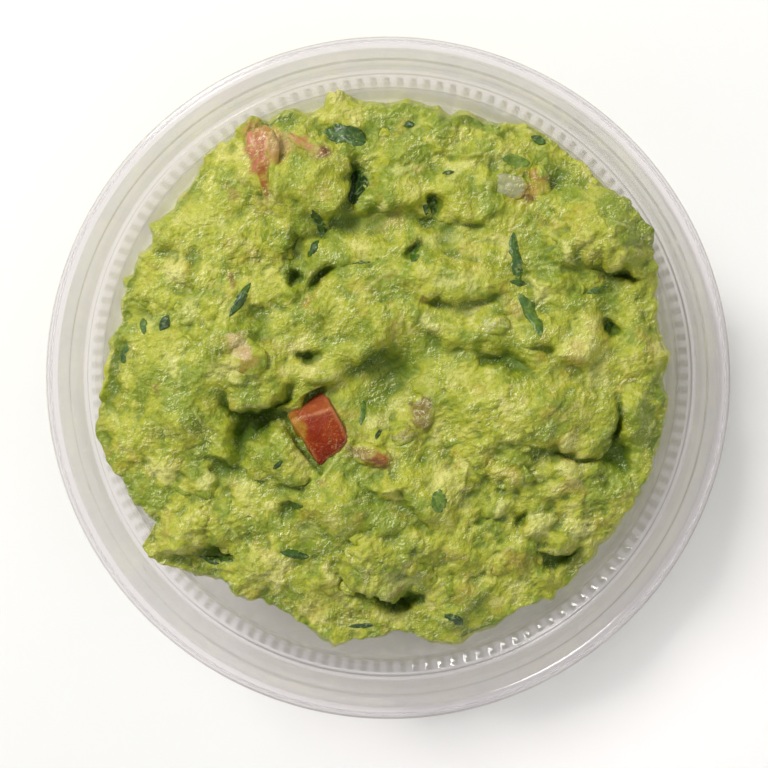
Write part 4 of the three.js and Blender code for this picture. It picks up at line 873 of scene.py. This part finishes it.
def herb_leaves():
    """Thin crinkled leaves lying in the paste, with their rims sunk in it."""
    points, faces, tones, middles, heights = [], [], [], [], []
    u, v = np.meshgrid(np.linspace(-1, 1, LEAF_ROWS + 1), np.linspace(-1, 1, LEAF_COLUMNS + 1), indexing="ij")
    quads, rim = grid_quads(u.shape)
    ground = blurred(WHOLE, 0.35)
    for n, (x, y, long, wide, turn, curl, bright) in enumerate(HERBS):
        c, s = math.cos(math.radians(turn)), math.sin(math.radians(turn))
        oval = 0.08 + 0.92 * (1 - u * u) ** 0.8
        side = np.sign(v) * 3.0 + 5.0 * n
        width = wide * oval * (1 + layered(long * u, side, LEAF_RAGGED))
        across = width * v + 0.22 * wide * noise(long * u, side - 3.0 * np.sign(v), 2.6, 44)
        px = x + long * u * c - across * s
        py = y + long * u * s + across * c
        rise = layered(px, py, CRINKLE) + curl * (0.24 - 0.6 * v ** 4 - 0.4 * u ** 6)
        shift = np.stack([look_up(LEAN_X, px, py), look_up(LEAN_Y, px, py), np.zeros(px.shape)], -1)
        upper = np.stack([px, py, look_up(ground, px, py) + rise + LEAF_LIFT], -1) + shift
        upper = upper.reshape(-1, 3)
        points.append(np.concatenate([upper, upper - [0, 0, LEAF_THICK]]))
        first, under = 2 * u.size * n, u.size
        faces += [first + quads, first + under + quads[:, ::-1], first + ring_quads(rim, rim + under)]
        tones.append(np.full(2 * under, bright))
        middles.append(np.tile(v.ravel(), 2))
        heights.append(np.tile(rise.ravel(), 2))
    values = {"bright": tones, "across": middles, "above": heights}
    values = {key: np.concatenate(parts) for key, parts in values.items()}
    return make_mesh("herb_leaves", np.concatenate(points), np.concatenate(faces), values)


BALL, BALL_FACES = ball(4)
PIECE_ROUGH = 0.07  # the solid pieces' unevenness
CUBE_SQUARE = 22.0
CUBE_ROUGH = [(2.4, 0.20, 51), (0.9, 0.09, 52)]  # size, amount, seed
SEEDS_AT = (-15.6, -8.2, 2.8, 1.6, 120)


def squared(power):
    """The ball's points, pushed out towards a cube the more the higher the power."""
    return BALL / (np.abs(BALL) ** power).sum(axis=1, keepdims=True) ** (1 / power)


def vegetable(name, at, half, turn, rise, square, taper):
    """A chopped piece in the solid's form, with fine unevenness."""
    v = squared(square)
    rough = PIECE_ROUGH * noise(7 * v[:, 0] + 3 * v[:, 2], 7 * v[:, 1] + 3 * v[:, 2], 2.6, 41)
    fine = 0.05 * noise(9 * v[:, 0] + 4 * v[:, 2], 9 * v[:, 1] - 4 * v[:, 2], 1.7, 47)
    v = v * (1 + rough + fine)[:, None]
    c, s = math.cos(math.radians(turn)), math.sin(math.radians(turn))
    along, width = half[0] * v[:, 0], half[1] * (1 + taper * v[:, 0]) * v[:, 1]
    x, y = at[0] + along * c - width * s, at[1] + along * s + width * c
    middle = surface_z(np.array([at[0]], float), np.array([at[1]], float))[0] + rise
    values = surface_values(x, y)
    values["grey"] = float(name == "onion_grey") * smooth(1.2, 0.9, in_ellipse(x, y, *GREY_AT))
    points = np.stack([x, y, middle + half[2] * v[:, 2]], axis=-1)
    return make_mesh(name + "_piece", points, BALL_FACES, values)


def tomato_cube():
    """The cut cube between its eight corners, its edges rounded and its faces a little full."""
    v = squared(CUBE_SQUARE)
    u, w, h = ((v + 1) / 2).T[:, :, None]
    up, low = np.array(CUBE_UPPER), np.array(CUBE_LOWER)

    def sheet(c):
        return (c[1] * (1 - u) + c[2] * u) * (1 - w) + (c[0] * (1 - u) + c[3] * u) * w

    points = sheet(low) * (1 - h) + sheet(up) * h
    out = points - points.mean(axis=0)
    out /= np.linalg.norm(out, axis=1, keepdims=True)
    inner = np.sort(np.abs(v), axis=1)[:, 1]
    swell = 0.4 * (1 - 1.3 * inner ** 2)
    rough = layered(points[:, 0] + points[:, 2], points[:, 1] - points[:, 2], CUBE_ROUGH)
    points = points + out * (swell + rough)[:, None]
    x, y, z = points.T
    seed_x = x + 0.5 * noise(x, y, 1.1, 53)
    values = {
        "side": np.clip(smooth(0.75, 1.0, v[:, 1]) + smooth(0.93, 1.0, -v[:, 0]) * 0.6, 0, 1),
        "rim": smooth(0.80, 0.97, inner),
        "seedy": smooth(1.4, 0.4, in_ellipse(seed_x, y, *SEEDS_AT)),
        # painted shade: the cube darker towards one side, away from the light
        "dark": smooth(0.2, 1.0, v[:, 0]),
        "above": z - look_up(WHOLE, x, y),
    }
    return make_mesh("tomato_cube_piece", points, BALL_FACES, values)


# ---------------- the tub

RIBS = 140
TURN_STEPS = 4 * RIBS
RIB_HIGH = 0.15
RIB = [1.0, 1.0, 0.0, 0.0]  # its height over the four steps of one rib


def stepped(corner, moves):
    """Points of a profile, given by their steps out and up from a corner."""
    return [(corner[0] + out, corner[1] + up) for out, up in moves]


def tub():
    """The tub turned from its profile, up the inside and down the outside, with ribs on its ledge."""
    ledge, shoulder = (TUB["shoulder_inner"], SHOULDER_LOW), (TUB["shoulder_outer"], TUB["shoulder_z"])
    lip = (TUB["rim_radius"], TUB["rim_z"])
    inner = stepped((0, TUB["wall"]), [
        (0, 0), (30, 0), (43.2, 0), (44.3, 0.2), (45.1, 0.8), (45.5, 1.8), (47.03, 11.2), (48.66, 21.2)])
    inner += stepped(ledge, [(-0.15, -0.6), (0, -0.15), (0.12, 0.02), (0.3, 0.2)])
    inner += stepped(shoulder, [
        (-0.2, -0.13), (0, 0), (0.06, 0.12), (0.1, 0.42), (0.16, 0.5), (0.3, 0.55), (0.5, 0.54), (0.6, 0.46),
        (0.72, 0.5), (0.82, 0.74), (0.95, 1.1), (1.6, 3.6), (2.3, 5.65), (2.45, 6.15), (2.65, 6.45),
        (2.9, 6.7), (3.1, 7.15)])
    inner += stepped(lip, [
        (-2.85, -1.4), (-2.6, -0.7), (-2.38, -0.38), (-2.1, -0.15), (-1.8, -0.03), (-1.3, 0), (-0.6, -0.02),
        (-0.25, -0.15), (-0.07, -0.4), (0, -0.7)])
    outer = stepped(lip, [
        (0, -1.7), (-0.1, -1.95), (-0.4, -2), (-0.65, -1.9), (-0.75, -1.5), (-0.8, -1.1), (-1.1, -0.8),
        (-1.7, -0.8), (-2.05, -1.1), (-2.2, -1.6)])
    outer += stepped(shoulder, [(3.3, 6.5), (2.3, 3.3), (1.75, 0.7), (1.5, 0.1), (1.1, -0.25), (0.75, -0.45)])
    outer += stepped(ledge, [(0.9, -0.45), (0.7, -0.8), (0.6, -1.4)])
    outer += [
        (49.46, 22), (47.83, 12), (46.3, 2.2), (45.9, 1), (45.2, 0.3), (44.4, 0), (43.4, 0), (42.6, 0.25),
        (30, 0.25), (0, 0.25)]
    ribbed = [ledge[0] + 0.2 < r < shoulder[0] - 0.1 and z < shoulder[1] for r, z in inner]
    ribbed += [False] * len(outer)
    r, z = np.array(inner + outer).T[:, 1:-1, None]
    ribs = np.outer(ribbed[1:-1], np.tile(RIB, RIBS))
    angle = np.linspace(0, 2 * math.pi, TURN_STEPS, endpoint=False)
    turned = np.stack([r * np.cos(angle), r * np.sin(angle), z + RIB_HIGH * ribs], axis=-1).reshape(-1, 3)
    points = np.concatenate([turned, [(0, *inner[0]), (0, *outer[-1])]])
    rings = np.arange(len(turned)).reshape(-1, TURN_STEPS)
    wall = triangles(np.concatenate([ring_quads(low, high) for low, high in zip(rings, rings[1:])]))
    middle = np.full(TURN_STEPS, len(turned))
    floor_fan = np.stack([middle, rings[0], np.roll(rings[0], -1)], axis=1)
    foot_fan = np.stack([middle + 1, np.roll(rings[-1], -1), rings[-1]], axis=1)
    # The rib mask also carries the painted shade on the ribs.
    values = {"rib": np.append(ribs, [0, 0])}
    return make_mesh("clear_tub", points, np.concatenate([wall, floor_fan, foot_fan]), values)


# ---------------- materials


class Nodes:
    """A material's node tree, with short names for what is used often."""

    def __init__(self, name):
        self.material = bpy.data.materials.new(name)
        self.material.use_nodes = True
        self.tree = self.material.node_tree
        self.tree.nodes.clear()

    def add(self, kind, **inputs):
        node = self.tree.nodes.new(kind)
        for key, value in inputs.items():
            self.put(node.inputs[key.replace("_", " ")], value)
        return node

    def put(self, socket, value):
        if isinstance(value, bpy.types.NodeSocket):
            self.tree.links.new(value, socket)
        else:
            socket.default_value = value

    def math(self, operation, a, b=0.0):
        node = self.tree.nodes.new("ShaderNodeMath")
        node.operation = operation
        self.put(node.inputs[0], a)
        self.put(node.inputs[1], b)
        return node.outputs[0]

    def times(self, a, b):
        return self.math("MULTIPLY", a, b)

    def plus(self, a, b):
        return self.math("ADD", a, b)

    def mix(self, factor, a, b):
        node = self.tree.nodes.new("ShaderNodeMix")
        node.data_type = "RGBA"
        self.put(node.inputs["Factor"], factor)
        self.put(node.inputs[6], a)
        self.put(node.inputs[7], b)
        return node.outputs[2]

    def ramp(self, value, low, high, to_low=0.0, to_high=1.0):
        node = self.tree.nodes.new("ShaderNodeMapRange")
        node.interpolation_type = "SMOOTHSTEP"
        self.put(node.inputs["Value"], value)
        for key, end in (("From Min", low), ("From Max", high), ("To Min", to_low), ("To Max", to_high)):
            self.put(node.inputs[key], end)
        return node.outputs["Result"]

    def tint(self, colour, value, low, high, target, most=1.0):
        """The colour drawn towards a target as value goes from low to high."""
        return self.mix(self.ramp(value, low, high, 0.0, most), colour, target)

    def painted(self, colour, key, most, target):
        """The colour drawn towards a target where the mesh's own value is high."""
        return self.mix(self.times(self.attribute(key), most), colour, target)

    def position(self):
        return self.add("ShaderNodeTexCoord").outputs["Object"]

    def noise(self, size, detail=3.0, rough=0.55, distortion=0.0, offset=(0.0, 0.0, 0.0)):
        """Noise with hills about size millimetres apart."""
        move = self.add("ShaderNodeVectorMath")
        move.operation = "ADD"
        self.put(move.inputs[0], self.position())
        self.put(move.inputs[1], offset)
        node = self.add("ShaderNodeTexNoise", Vector=move.outputs[0], Scale=1 / (size * MM), Detail=detail,
                        Roughness=rough, Distortion=distortion)
        return node.outputs["Fac"]

    def attribute(self, name):
        node = self.tree.nodes.new("ShaderNodeAttribute")
        node.attribute_name = name
        return node.outputs["Fac"]

    def bump(self, height, distance, strength):
        node = self.add("ShaderNodeBump", Height=height, Distance=distance * MM, Strength=strength)
        return node.outputs["Normal"]

    def flesh(self, colour, roughness, normal, wet_normal, soft, coat, radius=(1.0, 1.0, 0.3), scale=1.2,
              shine=0.4):
        """Moist food: light goes a little way in, and a film of water lies on top."""
        shader = self.add(
            "ShaderNodeBsdfPrincipled", Base_Color=colour, Roughness=roughness, Normal=normal,
            Subsurface_Weight=soft, Subsurface_Radius=radius, Subsurface_Scale=scale * MM, Coat_Weight=coat,
            Coat_Normal=wet_normal, Coat_Roughness=0.09, Coat_IOR=1.38, Specular_IOR_Level=shine)
        return self.finish(shader.outputs[0])

    def finish(self, shader):
        out = self.tree.nodes.new("ShaderNodeOutputMaterial")
        self.tree.links.new(shader, out.inputs["Surface"])
        return self.material


def srgb(r, g, b):
    """A colour written as in a picture, 0 to 255, for a shader."""
    def linear(c):
        c /= 255
        return c / 12.92 if c <= 0.04045 else ((c + 0.055) / 1.055) ** 2.4
    return (linear(r), linear(g), linear(b), 1.0)


def paste_colour(n):
    """Mashed avocado: green to creamy by clumps, flecks and streaks, with paler, amber and brown spots, and
    greener patches that are partly painted shade in the hollows.
    """
    tone = n.plus(n.attribute("clump"), n.times(n.noise(2.6, 3, 0.6, 0.7), 0.5))
    tone = n.math("SUBTRACT", tone, 0.25)
    flecks = n.noise(0.8, 4, 0.65, 0.4, (1.3, 0.2, 0.5))
    streak = n.attribute("streak")
    yellowing = n.noise(5.5, 3, 0.6, 0.4, (4.1, 0.3, 1.2))
    colour = srgb(134, 152, 24)
    for value, low, high, target, most in (
            (tone, 0.22, 0.66, srgb(180, 183, 46), 1.0), (tone, 0.62, 0.95, srgb(216, 210, 118), 0.85),
            (flecks, 0.52, 0.72, srgb(218, 214, 120), 0.5), (flecks, 0.44, 0.26, srgb(118, 138, 22), 0.5),
            (streak, 0.6, 2.6, srgb(224, 220, 138), 0.35), (streak, -0.8, -2.8, srgb(120, 136, 20), 0.35),
            (yellowing, 0.55, 0.70, srgb(180, 150, 50), 0.4)):
        colour = n.tint(colour, value, low, high, target, most)
    # The green patches are partly painted shade in the hollows; pale, amber and brown are the paste's own
    # spots.
    for key, most, target in (("green", 0.5, srgb(112, 134, 22)), ("pale", 0.85, srgb(222, 219, 128)),
                              ("amber", 0.75, srgb(178, 142, 46)), ("brown", 0.8, srgb(140, 94, 48))):
        colour = n.painted(colour, key, most, target)
    return colour


# The tints of the vegetable pieces
TINTS = {
    "umber": srgb(132, 106, 56), "rose": srgb(188, 114, 80), "ochre": srgb(156, 126, 44),
    "orange": srgb(156, 84, 26), "dark": srgb(112, 52, 34), "grey": srgb(160, 158, 118),
    "film": srgb(212, 174, 126),
}


def tinted(n, colour, most):
    """The colour under the painted tints, uneven as if through a film of paste, and a net of fine lines."""
    through = n.ramp(n.noise(1.3, 3, 0.6, 0.7, (0.2, 2.2, 0.6)), 0.28, 0.55, 0.45 * most, most)
    for key, tint in TINTS.items():
        colour = n.painted(colour, key, through, tint)
    net = n.math("ABSOLUTE", n.math("SUBTRACT", n.noise(1.5, 3, 0.5, 1.2, (0.3, 1.9, 0.4)), 0.5))
    net = n.times(n.ramp(net, 0.035, 0.008), n.attribute("net"))
    return n.mix(n.times(net, 0.8), colour, srgb(228, 222, 180)), net


GRIT_SIZE = 0.85  # of the wet grit on the paste, mm
GRIT_AT = (0.5, 1.2, 0.1)
TOWARD_LIGHT = (-0.00009, 0.00009, 0.0)  # a short step towards the upper left, in metres


def grit_and_painted_glints(n, colour, glint, shade):
    """Fine grit whose noise also makes bumps: painted glints on its slopes towards the upper left, in
    clusters, and painted shade on the slopes away from it.
    """
    here, beside = [n.noise(GRIT_SIZE, 4, 0.62, 0.35, place) for place in (
        GRIT_AT, tuple(a + b for a, b in zip(GRIT_AT, TOWARD_LIGHT)))]
    slope = n.math("SUBTRACT", here, beside)
    clusters = n.ramp(n.noise(3.4, 3, 0.6, 0.4, (0.9, 0.3, 1.1)), 0.44, 0.64, 0.08, 1.0)
    # Painted shade on the slopes away from the upper left, and painted glints in pale yellow-white on the
    # slopes facing it.
    colour = n.tint(colour, slope, -0.015, -0.06, srgb(112, 132, 28), shade)
    bright = n.times(clusters, n.ramp(slope, 0.038, 0.062, 0.0, glint))
    return n.mix(bright, colour, srgb(243, 244, 196)), here


def paste_material():
    """The mash, with painted shade making it greener and darker in its hollows and clefts, and painted glints
    on its grit.
    """
    n = Nodes("avocado_paste")
    colour, net = tinted(n, paste_colour(n), 0.75)
    depth = n.attribute("depth")
    # Painted shade: darker, greener colour in cavities, clefts and deep hollows.
    colour = n.tint(colour, n.attribute("cavity"), -0.08, -0.6, srgb(98, 122, 12), 0.5)
    colour = n.tint(colour, n.attribute("crevice"), -0.05, -0.3, srgb(90, 116, 10), 0.45)
    colour = n.tint(colour, depth, -0.4, -2.3, srgb(66, 98, 4), 0.66)
    # Painted glints and painted shade on the grit.
    colour, grit = grit_and_painted_glints(n, colour, 0.62, 0.36)
    roughness = n.ramp(n.noise(1.7, 2, 0.5), 0.3, 0.7, 0.36, 0.62)
    coat = n.ramp(depth, -0.4, -1.6, 0.5, 0.1)
    return n.flesh(colour, roughness, n.bump(grit, 0.5, 0.9), n.bump(n.plus(grit, net), 0.5, 1.0), 0.25, coat)


def vegetable_material():
    """Chopped tomato and onion under a wet film of paste, with painted glints and painted shade on its grit.
    """
    n = Nodes("filmed_vegetable")
    colour, net = tinted(n, paste_colour(n), 1.0)
    # Painted glints and painted shade on the grit.
    colour, _ = grit_and_painted_glints(n, colour, 0.6, 0.3)
    normal = n.bump(n.plus(n.noise(0.6, 3, 0.6, 0.0, (0.4, 0.6, 0.1)), net), 0.22, 0.6)
    wet = n.bump(n.plus(n.noise(0.8, 2, 0.5, 0.0, (1.1, 0.2, 0.7)), net), 0.3, 0.9)
    roughness = n.ramp(n.noise(1.0, 2), 0.3, 0.7, 0.25, 0.5)
    return n.flesh(colour, roughness, normal, wet, 0.3, 0.45, (1.0, 0.8, 0.3), 1.4)


def leaf_material():
    """Dark leaves, paler along the vein, with painted streaks of wet sheen, and under paste where they dip
    into it.
    """
    n = Nodes("herb_leaf")
    bright = n.plus(n.attribute("bright"), n.ramp(n.noise(1.3, 3, 0.6), 0.3, 0.7, -0.2, 0.2))
    colour = n.tint(srgb(34, 60, 16), bright, 0.05, 0.55, srgb(68, 102, 28))
    colour = n.tint(colour, bright, 0.5, 1.0, srgb(124, 150, 42))
    vein = n.math("ABSOLUTE", n.attribute("across"))
    colour = n.tint(colour, vein, 0.12, 0.03, srgb(96, 138, 66), 0.3)
    uneven = n.ramp(n.noise(1.6, 2, 0.5, 0.5, (0.7, 0.1, 2.3)), 0.3, 0.7, -0.2, 0.2)
    colour = n.tint(colour, n.plus(n.attribute("above"), uneven), -0.05, -0.3, srgb(120, 144, 52), 0.8)
    # Painted sheen: pale streaks standing in for the wet leaves' highlights.
    painted_sheen = n.noise(1.2, 3, 0.6, 1.0, (1.7, 0.4, 0.2))
    colour = n.tint(colour, painted_sheen, 0.54, 0.66, srgb(160, 172, 112), 0.5)
    normal = n.bump(n.noise(0.6, 3, 0.55), 0.22, 0.8)
    wet = n.bump(n.noise(1.0, 2, 0.5, 0.0, (1.1, 0.9, 0.7)), 0.3, 0.8)
    return n.flesh(colour, 0.42, normal, wet, 0.08, 0.5, (0.5, 0.9, 0.3), 0.5)


def tomato_cube_material():
    """Red flesh with paler fibres and cut sides, painted shade towards one side, painted glints in small
    specks, seeds on one face, and paste around its foot.
    """
    n = Nodes("tomato_flesh")
    colour = n.tint(srgb(130, 34, 1), n.noise(2.6, 3, 0.6, 0.4), 0.35, 0.7, srgb(146, 54, 3))
    # Painted shade: deeper red on the side away from the light.
    colour = n.painted(colour, "dark", 0.85, srgb(104, 23, 1))
    fibres = n.noise(0.8, 3, 0.6, 1.5, (0.1, 0.6, 1.9))
    colour = n.tint(colour, fibres, 0.55, 0.75, srgb(172, 80, 20), 0.45)
    colour = n.painted(colour, "side", 0.75, srgb(176, 98, 60))
    seeds = n.ramp(n.noise(1.0, 3, 0.6, 0.5, (0.9, 1.4, 0.2)), 0.3, 0.6, 0.45, 0.9)
    colour = n.painted(colour, "seedy", seeds, srgb(166, 128, 34))
    film = n.ramp(n.noise(2.2, 3, 0.6), 0.35, 0.6, 0.0, 0.55)
    colour = n.painted(colour, "rim", film, srgb(196, 136, 80))
    smear = n.noise(1.1, 3, 0.6, 0.5, (2.2, 0.5, 0.8))
    colour = n.tint(colour, smear, 0.56, 0.70, srgb(172, 104, 40), 0.45)
    # Painted glints: small paler specks on the flesh.
    painted_glint_specks = n.noise(0.5, 1, 0.5, 0.0, (0.5, 1.2, 0.1))
    colour = n.tint(colour, painted_glint_specks, 0.62, 0.74, srgb(206, 134, 70), 0.3)
    uneven = n.ramp(n.noise(1.2, 3, 0.6, 0.5, (2.7, 0.1, 0.3)), 0.3, 0.7, -0.25, 0.25)
    colour = n.tint(colour, n.plus(n.attribute("above"), uneven), 0.05, -0.35, srgb(166, 168, 66), 0.9)
    # Painted glints on the grit.
    colour, _ = grit_and_painted_glints(n, colour, 0.24, 0.0)
    normal = n.bump(n.noise(0.7, 3, 0.6), 0.2, 0.7)
    wet = n.bump(n.noise(0.8, 2, 0.5, 0.0, (0.2, 0.4, 2.7)), 0.3, 0.8)
    return n.flesh(colour, 0.5, normal, wet, 0.04, 0.06, (1.0, 0.3, 0.1), 1.0, 0.2)


CLEAR_SHARE = 0.38  # of the plastic lets light straight through, and all of it lets a lamp's light through


def plastic_material():
    """Clear plastic with faint scratches, painted shade on its ribs, and hardly any shadow."""
    n = Nodes("clear_plastic")
    scratch = n.add("ShaderNodeTexWave", Vector=n.position(), Scale=60, Distortion=26, Detail=3)
    scratch = n.times(n.ramp(scratch.outputs["Fac"], 0.93, 1.0), n.ramp(n.noise(7, 2), 0.5, 0.7))
    # Painted shade: the ribs greyer than the clear wall, standing in for how they bend light away.
    colour = n.mix(n.attribute("rib"), srgb(241, 236, 238), srgb(190, 184, 174))
    roughness = n.ramp(n.noise(9, 2), 0.3, 0.7, 0.04, 0.12)
    plastic = n.add("ShaderNodeBsdfPrincipled", Base_Color=colour, Transmission_Weight=0.93, IOR=1.49,
                    Roughness=roughness, Normal=n.bump(scratch, 0.03, 0.5))
    clear = n.add("ShaderNodeBsdfTransparent", Color=srgb(247, 245, 246))
    path = n.add("ShaderNodeLightPath")
    mixed = n.add("ShaderNodeMixShader", Fac=n.plus(
        n.times(path.outputs["Is Shadow Ray"], 1 - CLEAR_SHARE), CLEAR_SHARE))
    n.put(mixed.inputs[1], plastic.outputs[0])
    n.put(mixed.inputs[2], clear.outputs[0])
    return n.finish(mixed.outputs[0])


def floor_material():
    n = Nodes("pale_floor")
    shade = n.mix(n.noise(40, 2), srgb(250, 250, 249), srgb(252, 252, 251))
    return n.finish(n.add("ShaderNodeBsdfPrincipled", Base_Color=shade, Roughness=0.9,
                          Specular_IOR_Level=0.1).outputs[0])


# ---------------- the pieces


def dress(piece, material, node=None):
    """Give a piece its material and place, and let it stand for the solid it is the likeness of, if any."""
    piece.data.materials.append(material)
    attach(piece, "root")
    if node:
        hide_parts(node)


PASTE = paste_material()
dress(heap(), PASTE, "guacamole")
dress(mash_bits(), PASTE)
dress(herb_leaves(), leaf_material())
dress(tub(), plastic_material(), "tub")
dress(tomato_cube(), tomato_cube_material(), "tomato_cube")

FILMED = vegetable_material()
for name, form in PIECES.items():
    dress(vegetable(name, *form), FILMED, name)

# ---------------- floor, light and camera

FLOOR_SIZE, FLOOR_Z = 3.0, -0.0002  # metres; just under the tub's foot

bpy.ops.mesh.primitive_plane_add(size=FLOOR_SIZE, location=(0, 0, FLOOR_Z))
floor = bpy.context.object
floor.name = "floor"
floor.data.materials.append(floor_material())

LIT_AT = Vector((0, 0, 0.03))


def area_light(name, place, size, power, colour):
    """A round lamp that looks at the heap's middle; metres and watts."""
    lamp = bpy.data.lights.new(name, "AREA")
    lamp.shape = "DISK"
    lamp.size = size
    lamp.energy = power
    lamp.color = colour
    obj = bpy.data.objects.new(name, lamp)
    obj.location = place
    obj.rotation_euler = (LIT_AT - Vector(place)).to_track_quat("-Z", "Y").to_euler()
    bpy.context.scene.collection.objects.link(obj)


area_light("key", (-0.42, 0.52, 0.72), 0.32, 6.3, (1.0, 0.985, 0.96))
area_light("spark", (-0.36, 0.46, 0.8), 0.05, 0.9, (1.0, 0.99, 0.97))
area_light("fill", (0.5, -0.3, 0.9), 0.8, 1.0, (0.96, 0.98, 1.0))

world = bpy.data.worlds.new("studio")
bpy.context.scene.world = world
world.use_nodes = True
sky = world.node_tree.nodes["Background"]
sky.inputs["Color"].default_value = (1.0, 1.0, 1.0, 1.0)
sky.inputs["Strength"].default_value = 0.44

# The camera sees the tub's lip where the photograph has it
PHOTO = 768  # pixels across
RIM_PX = 342.9  # the lip's radius in pixels
RIM_AT = (386.0, 382.1)  # the lip's middle in pixels
EYE = 420.0  # from the lip's middle to the lens, mm
TILT_BACK, TILT_RIGHT = 4.8, 2.4  # degrees
SENSOR = 36.0  # mm

camera_data = bpy.data.cameras.new("camera")
camera_data.sensor_width = SENSOR
camera_data.lens = EYE * RIM_PX / TUB["rim_radius"] * SENSOR / PHOTO
camera_data.shift_x = -(RIM_AT[0] - PHOTO / 2) / PHOTO
camera_data.shift_y = (RIM_AT[1] - PHOTO / 2) / PHOTO
camera_data.clip_start = 0.01
camera = bpy.data.objects.new("camera", camera_data)
bpy.context.scene.collection.objects.link(camera)
rim = Vector((0, 0, TUB["rim_z"])) * MM
lean = Vector((math.tan(math.radians(TILT_RIGHT)), math.tan(math.radians(TILT_BACK)), 1)).normalized()
camera.location = rim + lean * EYE * MM
toward = -lean
right = toward.cross(Vector((0, 1, 0))).normalized()
up = right.cross(toward)
camera.matrix_world = Matrix.Translation(camera.location) @ Matrix((right, up, -toward)).transposed().to_4x4()
bpy.context.scene.camera = camera

bpy.context.scene.view_settings.view_transform = "Standard"
